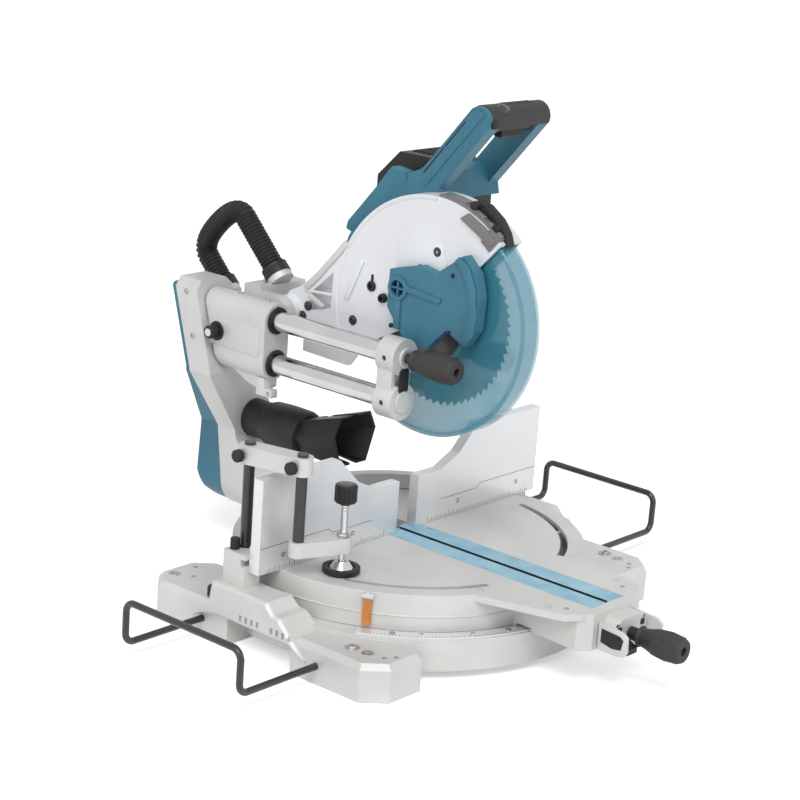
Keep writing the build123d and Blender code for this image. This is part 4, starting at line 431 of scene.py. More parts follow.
def plate(shape, outline, axis, start, end, edge=0.0):
    """A flat form: an outline across an axis, from start to end, with its edges rounded."""
    form = bmesh.new()
    rim = [form.verts.new(along(axis, a, b, start)) for a, b in outline]
    grown = bmesh.ops.extrude_face_region(form, geom=[form.faces.new(rim)])
    lifted = [part for part in grown["geom"] if isinstance(part, bmesh.types.BMVert)]
    bmesh.ops.translate(form, verts=lifted, vec=along(axis, 0.0, 0.0, end - start))
    if edge:
        bmesh.ops.bevel(form, geom=form.edges[:], offset=edge, offset_type="OFFSET", affect="EDGES",
                        segments=2, profile=0.5, material=-1, clamp_overlap=True)
    add(shape, form)


def block(shape, low, high, edge=0.0):
    """A box between two corners."""
    outline = [(low[0], low[1]), (high[0], low[1]), (high[0], high[1]), (low[0], high[1])]
    plate(shape, outline, "Z", low[2], high[2], edge)


def turned(shape, profile, place, axis, steps=24):
    """A turned form: an (along, radius) profile spun about a line from a place along an axis."""
    form = bmesh.new()
    rail = [form.verts.new((radius, 0.0, far)) for far, radius in profile]
    edges = [form.edges.new(pair) for pair in zip(rail, rail[1:])]
    bmesh.ops.spin(form, geom=rail + edges, cent=(0, 0, 0), axis=(0, 0, 1), angle=2 * math.pi, steps=steps,
                   use_merge=True)
    bmesh.ops.remove_doubles(form, verts=form.verts[:], dist=1e-6)
    turn = Vector(UP).rotation_difference(Vector(axis)).to_matrix().to_4x4()
    add(shape, form, Matrix.Translation(place) @ turn)


def rod(shape, radius, length, place, axis, steps):
    """A plain round rod from a place along an axis."""
    turned(shape, [(0.0, 0.0), (0.0, radius), (length, radius), (length, 0.0)], place, axis, steps)


def bent_bar(shape, loop, frame_here, start, end, steps):
    """A bar bent about a frame's axis: a (radius, along) loop swept from one angle to another, in degrees."""
    form = bmesh.new()
    rim = [form.verts.new((radius, 0.0, far)) for radius, far in loop]
    face = form.faces.new(rim)
    bmesh.ops.spin(form, geom=[*rim, *face.edges, face], cent=(0, 0, 0), axis=(0, 0, 1),
                   angle=math.radians(end - start), steps=steps)
    add(shape, form, frame_here @ Matrix.Rotation(math.radians(start), 4, "Z"))


def ring(shape, inner, outer, start, end, place, axis, edge=0.0006, steps=32):
    """A flat ring or collar with broken edges."""
    profile = [
        (start, inner),
        (start, outer - edge),
        (start + edge, outer),
        (end - edge, outer),
        (end, outer - edge),
        (end, inner),
        (start, inner),
    ]
    turned(shape, profile, place, axis, steps)


def cap_screw(shape, place, axis, radius, proud=0.003):
    """A socket-head screw that stands proud of its seat."""
    profile = [
        (-0.001, 0.0),
        (-0.001, radius),
        (proud * 0.7, radius),
        (proud, radius * 0.82),
        (proud, radius * 0.5),
        (proud * 0.1, radius * 0.44),
        (proud * 0.1, 0.0),
    ]
    turned(shape, profile, place, axis, 18)


def sunk_hole(shape, place, axis, radius):
    """A black disc with a thin lip, painted as the shade at the bottom of a drilled hole."""
    turned(shape, [(-0.002, 0.0), (-0.002, radius), (0.0003, radius), (0.0003, radius * 0.8), (-0.0012, 0.0)],
           place, axis, 16)


def number(shape, figures, size, place):
    """A number in plain figures, centred on its place."""
    letters = bpy.data.curves.new("figures", "FONT")
    letters.body = figures
    letters.size = size
    letters.align_x = "CENTER"
    letters.align_y = "CENTER"
    letters.extrude = 0.00012
    letters.resolution_u = 2
    holder = bpy.data.objects.new("figures", letters)
    mesh = bpy.data.meshes.new_from_object(holder)
    form = bmesh.new()
    form.from_mesh(mesh)
    add(shape, form, place)
    bpy.data.objects.remove(holder)
    bpy.data.meshes.remove(mesh)
    bpy.data.curves.remove(letters)


def piece(name, shape, finish, body):
    """A finished piece, which takes a slot's finish and moves with a body."""
    bmesh.ops.remove_doubles(shape, verts=shape.verts[:], dist=1e-6)
    bmesh.ops.recalc_face_normals(shape, faces=shape.faces[:])
    mesh = bpy.data.meshes.new(name)
    shape.to_mesh(mesh)
    shape.free()
    mesh.shade_smooth()
    mesh.set_sharp_from_angle(angle=math.radians(35))
    mesh.materials.append(MATERIALS[finish])
    made = bpy.data.objects.new(name, mesh)
    bpy.context.scene.collection.objects.link(made)
    if body:
        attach(made, body)
    return made


# Dust hose

def smooth_route(points):
    """The hose's middle line: a smooth spline on its route points, read back as close points."""
    line = bpy.data.curves.new("hose_line", "CURVE")
    line.dimensions = "3D"
    line.resolution_u = 32
    spline = line.splines.new("NURBS")
    spline.points.add(len(points) - 1)
    for place, point in zip(points, spline.points):
        point.co = (*place, 1.0)
    spline.order_u = 3
    spline.use_endpoint_u = True
    holder = bpy.data.objects.new("hose_line", line)
    mesh = bpy.data.meshes.new_from_object(holder)
    places = [vert.co.copy() for vert in mesh.vertices]
    bpy.data.objects.remove(holder)
    bpy.data.meshes.remove(mesh)
    bpy.data.curves.remove(line)
    return places


def route_lengths(places):
    """The length along the hose's middle line at each of its points."""
    lengths = [0.0]
    for here, there in zip(places, places[1:]):
        lengths.append(lengths[-1] + (there - here).length)
    return lengths


def route_frame(places, lengths, travel):
    """Where the hose is after that length, and how it heads there."""
    index = 1
    while index < len(lengths) - 1 and lengths[index] < travel:
        index += 1
    here, there = places[index - 1], places[index]
    share = (travel - lengths[index - 1]) / (lengths[index] - lengths[index - 1])
    ahead = (there - here).normalized()
    across = Vector((1.0, 0.0, 0.0))
    turn = Matrix((across, ahead.cross(across), ahead)).transposed().to_4x4()
    return Matrix.Translation(here.lerp(there, share)) @ turn


def dust_hose():
    """The ribbed hose from the carriage to the arm: turned straight, then laid along its route."""
    places = smooth_route(HOSE_ROUTE)
    lengths = route_lengths(places)
    total = lengths[-1]
    pitch = total / HOSE_RIBS
    low = HOSE_R - HOSE_RIB_DEPTH
    shoulder = HOSE_R - 0.0005
    profile = [(0.0, 0.0), (0.0, low)]
    for index in range(HOSE_RIBS):
        for share, radius in ((0.08, low), (0.22, shoulder), (0.32, HOSE_R), (0.58, HOSE_R), (0.68, shoulder),
                              (0.82, low)):
            profile.append(((index + share) * pitch, radius))
    profile += [(total, low), (total, 0.0)]
    shape = bmesh.new()
    turned(shape, profile, (0, 0, 0), UP, 40)
    for vert in shape.verts:
        travel = vert.co.z
        vert.co = route_frame(places, lengths, travel) @ Vector((vert.co.x, vert.co.y, 0.0))
    hose = piece("ribbed_dust_hose", shape, "hose_rubber", None)
    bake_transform(hose)
    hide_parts("dust_hose")
    ends = (("hose_cuff_front", "carriage", 0.0, 1), ("hose_cuff_rear", "arm", total, -1))
    bore = HOSE_R + 0.0002
    for name, body, travel, way in ends:
        cuff = bmesh.new()
        profile = [(-0.002, bore), (-0.002, HOSE_CUFF_R), (0.008, HOSE_CUFF_R), (0.010, HOSE_CUFF_R - 0.0008),
                   (0.012, HOSE_CUFF_R), (0.015, HOSE_CUFF_R - 0.0006), (0.017, bore)]
        here = route_frame(places, lengths, travel)
        turned(cuff, profile, here.translation, here.col[2].to_3d() * way, 36)
        piece(name, cuff, "black_plastic", body)


dust_hose()


# Saw head: blade case, centre cover, top cover

def case_details():
    """The blade case's raised panel, ribbed tail, edge bead, lower plate, chip guide, screws and plugs."""
    step = [(0.0304, 0.5515), (0.0068, 0.5603), (-0.0194, 0.5659), (-0.0411, 0.5669), (-0.0514, 0.5625),
            (-0.0563, 0.5555), (-0.0642, 0.5332), (-0.0500, 0.5000), (0.0304, 0.5000)]
    panel = bmesh.new()
    plate(panel, step, "X", CASE_LEFT - 0.0016, CASE_LEFT + 0.001, 0.0008)
    ridge = [(0.0969, 0.5121), (0.0905, 0.5074), (0.1169, 0.4448), (0.1271, 0.4457)]
    plate(panel, ridge, "X", CASE_LEFT - 0.003, CASE_LEFT + 0.001, 0.0014)
    for z0, z1 in ((0.4440, 0.4480), (0.3905, 0.3945)):
        plate(panel, [(0.150, z0), (0.150, z1), (0.206, z1 - 0.004), (0.206, z0 - 0.004)], "X",
              CASE_LEFT - 0.002, CASE_LEFT + 0.001, 0.0008)
    piece("case_panel", panel, "case_paint", "head")

    rim = bmesh.new()
    strut = [(0.2090, 0.4480), (0.1830, 0.4740), (0.1480, 0.5130), (0.1310, 0.5330), (0.1230, 0.5250),
             (0.1420, 0.5040), (0.1760, 0.4660), (0.2010, 0.4410)]
    plate(rim, strut, "X", CASE_LEFT - 0.0035, CASE_LEFT + 0.004, 0.0018)
    brace = [(0.1930, 0.4400), (0.1990, 0.4340), (0.1700, 0.4200), (0.1640, 0.4255)]
    plate(rim, brace, "X", CASE_LEFT - 0.0030, CASE_LEFT + 0.004, 0.0014)
    piece("tail_rim", rim, "cast_alu", "head")

    edge = bmesh.new()
    loop = [(0.1735, 0.001), (0.1735, -0.0004), (0.1755, -0.0014), (0.1788, -0.0014), (0.1798, 0.0),
            (0.1798, 0.001)]
    bent_bar(edge, [(radius, CASE_LEFT + far) for radius, far in loop], BLADE_FRAME, -18, 91, 64)
    piece("case_edge_bead", edge, "case_paint", "head")

    plate_below = [(0.2050, 0.4000), (0.2050, 0.3480), (0.1150, 0.3450), (0.1075, 0.3465), (0.0930, 0.3660),
                   (0.0720, 0.4020), (0.0900, 0.4120), (0.1500, 0.4120)]
    hanger = bmesh.new()
    plate(hanger, plate_below, "X", CASE_LEFT + 0.0004, CASE_LEFT + 0.0038, 0.0008)
    piece("case_lower_plate", hanger, "case_paint", "head")

    guide = bmesh.new()
    shield = [(0.0880, 0.4060), (0.0720, 0.4230), (0.0560, 0.4410), (0.0440, 0.4350), (0.0400, 0.4180),
              (0.0520, 0.4080), (0.0680, 0.4020), (0.0840, 0.4000)]
    plate(guide, shield, "X", -0.0240, -0.0150, 0.0012)
    piece("chip_guide", guide, "black_plastic", "head")

    screws = bmesh.new()
    for y, z in ((-0.0453, 0.5483), (0.1065, 0.4165), (0.1980, 0.4190), (0.2080, 0.4020)):
        ring(screws, 0.0046, 0.0074, -0.0010, 0.0018, (CASE_LEFT, y, z), LEFT, 0.0005, 24)
        cap_screw(screws, (CASE_LEFT - 0.0006, y, z), LEFT, 0.0046, 0.0026)
    piece("case_screws", screws, "black_steel", "head")

    plugs = bmesh.new()
    cap_screw(plugs, (CASE_LEFT, 0.0739, 0.4747), LEFT, 0.0078, 0.004)
    block(plugs, (CASE_LEFT - 0.001, 0.0715, 0.4810), (CASE_LEFT + 0.001, 0.0763, 0.4920), 0.0004)
    cap_screw(plugs, (CASE_LEFT, 0.0492, 0.4618), LEFT, 0.0070, 0.008)
    turned(plugs, [(-0.001, 0.0), (-0.001, 0.0042), (0.0012, 0.0042), (0.0018, 0.0030), (0.0018, 0.0)],
           (CASE_LEFT - 0.0016, -0.0162, 0.5209), LEFT, 18)
    piece("case_plugs", plugs, "black_plastic", "head")


def centre_cover_details():
    """The centre cover's spoked hub, ribs, raised rim and screws, and a black disc painted as the shade at
    the bottom of the hub's well.
    """
    hub = (COVER_LEFT, 0.009, 0.487)
    ribs = bmesh.new()
    plate(ribs, [(-0.0011, 0.4950), (-0.0021, 0.4850), (-0.0699, 0.4795), (-0.0727, 0.4865)], "X",
          COVER_LEFT - 0.0030, COVER_LEFT + 0.001, 0.0012)
    plate(ribs, [(0.0156, 0.4750), (0.0020, 0.4750), (0.0010, 0.4270), (0.0120, 0.4270)], "X",
          COVER_LEFT - 0.0030, COVER_LEFT + 0.001, 0.0012)
    ring(ribs, 0.0120, 0.0180, -0.001, 0.0036, hub, LEFT, 0.0010, 40)
    block(ribs, (COVER_LEFT - 0.0024, hub[1] - 0.0125, hub[2] - 0.0013),
          (COVER_LEFT + 0.006, hub[1] + 0.0125, hub[2] + 0.0013), 0.0004)
    block(ribs, (COVER_LEFT - 0.0024, hub[1] - 0.0013, hub[2] - 0.0125),
          (COVER_LEFT + 0.006, hub[1] + 0.0013, hub[2] + 0.0125), 0.0004)
    rim = [(-0.1007, 0.5545), (-0.1190, 0.5420), (-0.1330, 0.5137), (-0.1385, 0.4749), (-0.1350, 0.4460),
           (-0.1220, 0.4290), (-0.1100, 0.4330), (-0.1200, 0.4480), (-0.1245, 0.4743), (-0.1200, 0.5077),
           (-0.1087, 0.5325), (-0.0929, 0.5470)]
    plate(ribs, rim, "X", COVER_LEFT - 0.0045, COVER_LEFT + 0.001, 0.0016)
    piece("cover_ribs", ribs, "teal_plastic", "head")

    hub_shade_and_screws = bmesh.new()
    # A black disc behind the spokes: painted shade at the bottom of the hub's well.
    rod(hub_shade_and_screws, 0.0119, 0.003, (COVER_LEFT + 0.008, *hub[1:]), LEFT, 24)
    for y, z in ((-0.0895, 0.5244), (0.0180, 0.4300), (-0.0900, 0.4420)):
        cap_screw(hub_shade_and_screws, (COVER_LEFT, y, z), LEFT, 0.0036, 0.0014)
    piece("cover_screws_and_hub_shade", hub_shade_and_screws, "black_plastic", "head")


def top_cover_details():
    """The grey flap over the top of the case and the black link that opens the guard."""
    flap = [(-0.0827, 0.6040), (-0.0971, 0.6135), (-0.1265, 0.5990), (-0.1490, 0.5830), (-0.1410, 0.5740),
            (-0.1260, 0.5800), (-0.1151, 0.5868)]
    side = bmesh.new()
    plate(side, flap, "X", CASE_LEFT - 0.0046, CASE_LEFT + 0.001, 0.0012)
    for index in range(3):
        start = 97 + 12 * index
        loop = [(0.1838, -0.026), (0.1856, -0.024), (0.1856, -0.007), (0.1838, -0.005)]
        bent_bar(side, loop, BLADE_FRAME, start, start + 9, 8)
    piece("top_cover_flap", side, "grey_plastic", "head")

    link = bmesh.new()
    for x0, x1 in ((-0.0270, -0.0190), (-0.0150, -0.0070)):
        rod(link, 0.0062, x1 - x0, (x0, -0.1010, 0.6245), RIGHT, 20)
    rod(link, 0.0052, 0.024, (-0.0280, -0.1420, 0.5990), RIGHT, 20)
    strap = [(-0.1000, 0.6300), (-0.1180, 0.6270), (-0.1420, 0.6110), (-0.1560, 0.5930), (-0.1620, 0.5760),
             (-0.1540, 0.5745), (-0.1460, 0.5900), (-0.1330, 0.6050), (-0.1010, 0.6180)]
    plate(link, strap, "X", -0.0190, -0.0040, 0.0016)
    cap_screw(link, (-0.0190, -0.1420, 0.6000), LEFT, 0.0042, 0.0030)
    piece("guard_link", link, "black_plastic", "head")


case_details()
centre_cover_details()
top_cover_details()


# Handle and motor

def handle_details():
    """The handle arm's panel, black strips painted as the shade in its grooves, and the grip's button seat,
    soft cover and bands.
    """
    panel = bmesh.new()
    strip = [(0.0205, 0.6400), (0.0090, 0.6300), (-0.0880, 0.7465), (-0.0770, 0.7545), (-0.0660, 0.7480)]
    plate(panel, strip, "X", -0.0038, -0.001, 0.0016)
    piece("handle_arm_panel", panel, "teal_plastic", "head")

    grooves = bmesh.new()
    # Thin black strips: painted shade in the arm's grooves.
    for start, end in (((0.0130, 0.6500), (-0.0205, 0.6906)), ((-0.0235, 0.6942), (-0.0560, 0.7335))):
        way = Vector((end[0] - start[0], end[1] - start[1])).normalized() * 0.0009
        outline = [(start[0] - way[1], start[1] + way[0]), (start[0] + way[1], start[1] - way[0]),
                   (end[0] + way[1], end[1] - way[0]), (end[0] - way[1], end[1] + way[0])]
        plate(grooves, outline, "X", -0.0041, -0.002)
    for y, z in ((0.0060, 0.6420), (-0.0720, 0.7405)):
        cap_screw(grooves, (0.136, y, z), RIGHT, 0.0045, 0.0022)
    piece("handle_groove_shades_and_screws", grooves, "black_plastic", "head")

    seat = bmesh.new()
    facing = math.radians(128)
    normal = Vector((0.0, math.cos(facing), math.sin(facing)))
    tangent = Vector((0.0, -math.sin(facing), math.cos(facing)))
    place = Vector((0.034, *GRIP_BAR)) + normal * GRIP_COVER_R
    turn = Matrix.Translation(place) @ Matrix((RIGHT, tangent, normal)).transposed().to_4x4()
    angles = [math.radians(15 * index) for index in range(24)]
    oval = [(0.0135 * math.cos(angle), 0.0085 * math.sin(angle)) for angle in angles]
    plate(seat, oval, "Z", -0.004, 0.0008, 0.0005)
    dome = [(0.0, 0.0), (0.0, 0.0058), (0.0026, 0.0052), (0.0038, 0.0030), (0.0040, 0.0)]
    turned(seat, dome, (0, 0, 0), UP, 24)
    bmesh.ops.transform(seat, matrix=turn, verts=seat.verts[:])
    piece("grip_button_window", seat, "black_steel", "head")

    cover = bmesh.new()
    bar = Matrix.Translation((0, *GRIP_BAR)) @ ACROSS
    inside, shoulder = 0.0170, GRIP_COVER_R - 0.001
    loop = [(inside, 0.0050), (shoulder, 0.0050), (GRIP_COVER_R, 0.0064), (GRIP_COVER_R, 0.1352),
            (shoulder, 0.1368), (inside, 0.1368)]
    bent_bar(cover, loop, bar, 38, 206, 40)
    piece("grip_cover", cover, "grip_rubber", "head")

    bands = bmesh.new()
    for index in range(7):
        x = 0.052 + 0.009 * index
        loop = [(0.0210, x), (0.0224, x + 0.0006), (0.0224, x + 0.0026), (0.0210, x + 0.0032)]
        bent_bar(bands, loop, bar, 46, 110, 14)
    piece("grip_bands", bands, "grip_rubber", "head")


def motor_details():
    """The motor cover's fins and screws, and the trim of the belt cover beside it."""
    centre_y, centre_z, half = MOTOR_AXIS[0] + 0.008, MOTOR_AXIS[1] + 0.015, 0.070
    fins = bmesh.new()
    for facet in (0, 45, 90):
        turn = Matrix.Translation((0, centre_y, centre_z)) @ Matrix.Rotation(math.radians(facet), 4, "X")
        side = bmesh.new()
        for index in range(5):
            z = -0.0180 + 0.009 * index
            block(side, (0.084, half - 0.002, z - 0.0018), (0.158, half + 0.0022, z + 0.0018), 0.0010)
        add(fins, side, turn)
    for facet in (135, 180):
        turn = Matrix.Translation((0, centre_y, centre_z)) @ Matrix.Rotation(math.radians(facet), 4, "X")
        side = bmesh.new()
        block(side, (0.076, half - 0.002, -0.021), (0.166, half + 0.0014, 0.021), 0.0012)
        add(fins, side, turn)
    piece("motor_cover_fins", fins, "black_plastic", "head")

    screws = bmesh.new()
    for turn in (22.5, 112.5, 202.5, 292.5):
        y = centre_y + 0.058 * math.cos(math.radians(turn))
        z = centre_z + 0.058 * math.sin(math.radians(turn))
        cap_screw(screws, (0.176, y, z), RIGHT, 0.0042, 0.0022)
    for y, z in ((0.1390, 0.5210), (0.0230, 0.6270), (-0.0650, 0.4583), (-0.0054, 0.4305)):
        cap_screw(screws, (BELT_COVER_RIGHT, y, z), RIGHT, 0.0048, 0.0026)
    piece("motor_screws", screws, "steel", "head")

    ledge = bmesh.new()
    shroud = [(0.1790, 0.5360), (0.1760, 0.5490), (0.1500, 0.5790), (0.1220, 0.6120), (0.0970, 0.6440),
              (0.0700, 0.6400), (0.0600, 0.6100), (0.0950, 0.5800), (0.1300, 0.5480), (0.1600, 0.5300)]
    plate(ledge, shroud, "X", 0.0215, 0.0445, 0.0030)
    ring(ledge, 0.0555, 0.0585, 0.0, 0.006, (0.058, *MOTOR_AXIS), RIGHT, 0.0010, 56)
    ring(ledge, 0.0242, 0.0300, -0.001, 0.0030, (BELT_COVER_RIGHT, *BLADE_AXIS[1:]), RIGHT, 0.0010, 40)
    piece("belt_cover_trim", ledge, "teal_plastic", "head")


handle_details()
motor_details()


# Clear guard

def guard_details():
    """The beads along the clear guard's outer and inner edges."""
    bead = bmesh.new()
    loop = [(0.1650, -0.0225), (0.1662, -0.0238), (0.1708, -0.0238), (0.1718, -0.0228), (0.1718, -0.0222),
            (0.1650, -0.0222)]
    bent_bar(bead, loop, BLADE_FRAME, 130, 299, 96)
    inner = [(0.0622, -0.0225), (0.0634, -0.0238), (0.0668, -0.0238), (0.0680, -0.0225), (0.0680, -0.0222),
             (0.0622, -0.0222)]
    bent_bar(bead, inner, BLADE_FRAME, 130, 299, 72)
    piece("guard_edge_bead", bead, "clear_guard", "guard")


guard_details()


# Slide: carriage, poles, bracket

def carriage_details():
    """The carriage's side panel and feet, the wiper seals round the poles, black discs painted as the shade
    in its holes, and its screws.
    """
    panel = bmesh.new()
    block(panel, (-0.1072, 0.222, 0.3450), (-0.1050, 0.328, 0.3890), 0.0010)
    gusset = [(0.300, 0.3160), (0.232, 0.3179), (0.2150, 0.3170), (0.2150, 0.2960), (0.2260, 0.2900),
              (0.2560, 0.2960)]
    plate(panel, gusset, "X", -0.0920, -0.0700, 0.0012)
    foot = [(0.2320, 0.3120), (0.2160, 0.3120), (0.2160, 0.2970), (0.1990, 0.2970), (0.1990, 0.2840),
            (0.2320, 0.2840)]
    plate(panel, foot, "X", -0.0980, -0.0840, 0.0014)
    piece("carriage_panel", panel, "cast_alu", "carriage")

    seals = bmesh.new()
    for z in POLE_HEIGHTS:
        ring(seals, 0.0153, 0.0208, 0.0, 0.0034, (POLE_X, CARRIAGE_FRONT, z), FRONT, 0.0008, 40)
    ring(seals, 0.0048, 0.0150, -0.0010, 0.0032, (-0.1062, *SLIDE_LOCK), LEFT, 0.0010, 32)
    # Black discs on the carriage front and side: painted shade in its holes.
    for z in (0.419, 0.315):
        sunk_hole(seals, (POLE_X, CARRIAGE_FRONT, z), FRONT, 0.0028)
    sunk_hole(seals, (-0.0980, 0.2060, 0.2905), LEFT, 0.0030)
    piece("pole_seals_and_hole_shades", seals, "black_plastic", "carriage")

    screws = bmesh.new()
    for y in (0.232, 0.290):
        cap_screw(screws, (-0.0800, y, 0.4260), UP, 0.0042, 0.0022)
    ring(screws, 0.0, 0.0090, 0.0, 0.0030, (0.037, *HEAD_PIVOT), RIGHT, 0.0008, 28)
    piece("carriage_screws", screws, "steel", "carriage")

    cap = bmesh.new()
    ring(cap, 0.0, 0.0062, 0.0155, 0.0172, (-0.110, *SLIDE_LOCK), LEFT, 0.0006, 24)
    piece("slide_lock_cap", cap, "chrome", "slide_lock")


def bracket_details():
    """The pole bracket's screws, its two front collars and a black plate painted as the shade in the slot
    between them.
    """
    screws = bmesh.new()
    for z in POLE_HEIGHTS:
        cap_screw(screws, (POLE_X - 0.0235, -0.025, z), LEFT, 0.0036, 0.0012)
        cap_screw(screws, (POLE_X + 0.0265, -0.025, z), RIGHT, 0.0042, 0.0022)
    piece("bracket_screws", screws, "black_steel", "arm")

    collar = bmesh.new()
    ring(collar, 0.0075, 0.0150, 0.0, 0.0040, (POLE_X, BRACKET_FRONT, POLE_HEIGHTS[0]), FRONT, 0.0012, 32)
    ring(collar, 0.0, 0.0165, 0.0, 0.0026, (POLE_X, BRACKET_FRONT, POLE_HEIGHTS[1]), FRONT, 0.0010, 32)
    piece("bracket_collars", collar, "cast_alu", "arm")

    # A black plate on the bracket's front: painted shade in the slot.
    slot = bmesh.new()
    outline = [(-0.0905, 0.3520), (-0.0870, 0.3480), (-0.0730, 0.3480), (-0.0695, 0.3520), (-0.0695, 0.3800),
               (-0.0730, 0.3840), (-0.0870, 0.3840), (-0.0905, 0.3800)]
    plate(slot, outline, "Y", BRACKET_FRONT - 0.0008, BRACKET_FRONT + 0.0010, 0.0004)
    piece("bracket_slot_shade", slot, "black_plastic", "arm")


def arm_details():
    """The arm's side screws and the swollen collar of the dust scoop."""
    screws = bmesh.new()
    for x, y, z in ((-0.118, 0.370, 0.418), (-0.118, 0.352, 0.352)):
        cap_screw(screws, (x, y, z), LEFT, 0.0042, 0.0020)
    piece("arm_screws", screws, "steel", "arm")

    scoop = bmesh.new()
    bulge = [(0.190, 0.0298), (0.192, 0.0345), (0.198, 0.0362), (0.236, 0.0366), (0.262, 0.0352),
             (0.268, 0.0330), (0.269, 0.0298), (0.190, 0.0298)]
    turned(scoop, bulge, (SCOOP_AXIS[0], 0.0, SCOOP_AXIS[1]), REAR, 48)
    piece("scoop_hood", scoop, "black_plastic", "arm")


carriage_details()
bracket_details()
arm_details()


# Turntable and base

def angled(radius, height, degrees):
    """A place on the mitre circle: X out from the axis, the angle counted from the front to the right."""
    turn = Matrix.Rotation(math.radians(degrees), 4, "Z")
    return MITRE_FRAME @ turn @ Matrix.Translation((radius, 0.0, height))


def mitre_scale_marks():
    """Degree ticks and plain numbers on the mitre scale."""
    marks = bmesh.new()
    for degrees in range(-60, 61):
        tick = bmesh.new()
        long = 0.0090 if degrees % 15 == 0 else 0.0065 if degrees % 5 == 0 else 0.0042
        block(tick, (-long, -0.00028, -0.0003), (0.0, 0.00028, 0.00012))
        add(marks, tick, angled(0.2930, SCALE_TOP, degrees))
    for degrees in range(-45, 46, 15):
        upright = Matrix.Rotation(math.radians(90), 4, "Z")
        number(marks, str(abs(degrees)), 0.0068, angled(0.2800, SCALE_TOP, degrees + 1.2) @ upright)
    piece("mitre_scale_marks", marks, "black_plastic", "base")


def table_details():
    """The table's screws, black discs painted as the shade in its holes, black strips painted as the shade in
    the kerf slot, the nose's fins with black plates painted as the shade of their recesses, and the drum's
    trim.
    """
    screws = bmesh.new()
    dished = [(-0.002, 0.0), (-0.002, 0.0052), (0.0004, 0.0052), (0.0004, 0.0046), (-0.0008, 0.0030),
              (-0.0008, 0.0)]
    for x, y in ((-0.0800, -0.3300), (0.0800, -0.3300), (-0.1060, -0.2300), (0.1060, -0.2300)):
        turned(screws, dished, (x, y, TABLE_Z), UP, 20)
    piece("table_screws", screws, "steel", "turntable")

    # Black strips along the kerf slot's sides: painted shade in the slot.
    slot = bmesh.new()
    low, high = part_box("kerf_boards")
    for side in (-1, 1):
        inner, outer = sorted((side * 0.0036, side * 0.0041))
        block(slot, (inner, low[1] + 0.004, low[2]), (outer, high[1] - 0.004, high[2] - 0.0003))
    piece("kerf_slot_shade", slot, "black_plastic", "turntable")

    sleeve = bmesh.new()
    ring(sleeve, 0.0063, 0.0095, 0.0, 0.0165, (0.0, HOUSING_FRONT, LOCK_ROD_Z), FRONT, 0.0008, 28)
    for side in (-1, 1):
        middle = side * 0.027
        block(sleeve, (middle - 0.004, HOUSING_FRONT - 0.0018, 0.086),
              (middle + 0.004, HOUSING_FRONT + 0.0010, 0.094), 0.0008)
    piece("lock_rod_sleeve", sleeve, "black_plastic", "turntable")

    fins = bmesh.new()
    recess_shades = bmesh.new()
    fin = [(-0.3900, 0.0990), (-0.4300, 0.0960), (-0.4390, 0.0900), (-0.4400, 0.0680), (-0.4340, 0.0605),
           (-0.4220, 0.0585), (-0.3900, 0.0600)]
    # Black plates on the fins' outer faces: painted shade where the housing's recesses are.
    recess_shade_outline = [(-0.3960, 0.0920), (-0.4270, 0.0895), (-0.4330, 0.0850), (-0.4300, 0.0700), (-0.4150, 0.0680),
              (-0.3960, 0.0720)]
    fin_inside, fin_outside = 0.0390, 0.0440
    for side in (-1, 1):
        inner, outer = sorted((side * fin_inside, side * fin_outside))
        plate(fins, fin, "X", inner, outer, 0.0012)
        low, high = sorted((side * (fin_outside - 0.0010), side * (fin_outside + 0.0004)))
        plate(recess_shades, recess_shade_outline, "X", low, high)
    piece("housing_fins", fins, "cast_alu", "turntable")
    piece("housing_recess_shades", recess_shades, "black_plastic", "turntable")

    # Black discs: painted shade in the table's and the housing's holes.
    holes = bmesh.new()
    for x in (-0.0660, 0.0660):
        sunk_hole(holes, (x, -0.3500, TABLE_Z), UP, 0.0032)
    for x in (-0.030, 0.030):
        sunk_hole(holes, (x, HOUSING_FRONT, 0.096), FRONT, 0.0030)
    piece("table_hole_shades", holes, "black_plastic", "turntable")

    cap = bmesh.new()
    block(cap, (-0.002, -0.0095, 0.1035), (0.0090, 0.0095, 0.1100), 0.0012)
    cap_screw(cap, (0.004, 0.0, 0.1100), UP, 0.0032, 0.0016)
    bmesh.ops.transform(cap, matrix=angled(DRUM_R, 0.0, -60), verts=cap.verts[:])
    sunk, proud = DRUM_R - 0.001, DRUM_R + 0.001
    band = [(sunk, 0.0790), (proud, 0.0796), (proud, 0.0814), (sunk, 0.0820)]
    bent_bar(cap, band, MITRE_FRAME, -88, -16, 48)
    bent_bar(cap, band, MITRE_FRAME, 16, 88, 48)
    piece("drum_trim", cap, "cast_alu", "turntable")


def base_details():
    """The bosses round the bolt holes, and black discs painted as the shade in the small drilled holes on the
    feet.
    """
    bosses = bmesh.new()
    for side in (-1, 1):
        for y in (-0.19, 0.19):
            ring(bosses, 0.0046, 0.0090, -0.001, 0.0008, (side * 0.290, y, FOOT_TOP), UP, 0.0004, 28)
        ring(bosses, 0.0, 0.0105, -0.001, 0.0016, (side * 0.2925, -0.164, FOOT_TOP), UP, 0.0006, 28)
        cap_screw(bosses, (side * 0.2925, -0.164, FOOT_TOP + 0.0012), UP, 0.0060, 0.0030)
    piece("foot_bosses", bosses, "steel", "base")

    # Black discs: painted shade in the feet's drilled holes.
    holes = bmesh.new()
    for side in (-1, 1):
        for x, y in ((0.2710, -0.2240), (0.2850, -0.2150), (0.2768, 0.1640), (0.2480, 0.1900)):
            sunk_hole(holes, (side * x, y, FOOT_TOP), UP, 0.0030)
    piece("foot_hole_shades", holes, "black_plastic", "base")


mitre_scale_marks()
table_details()
base_details()


# Fences and vise

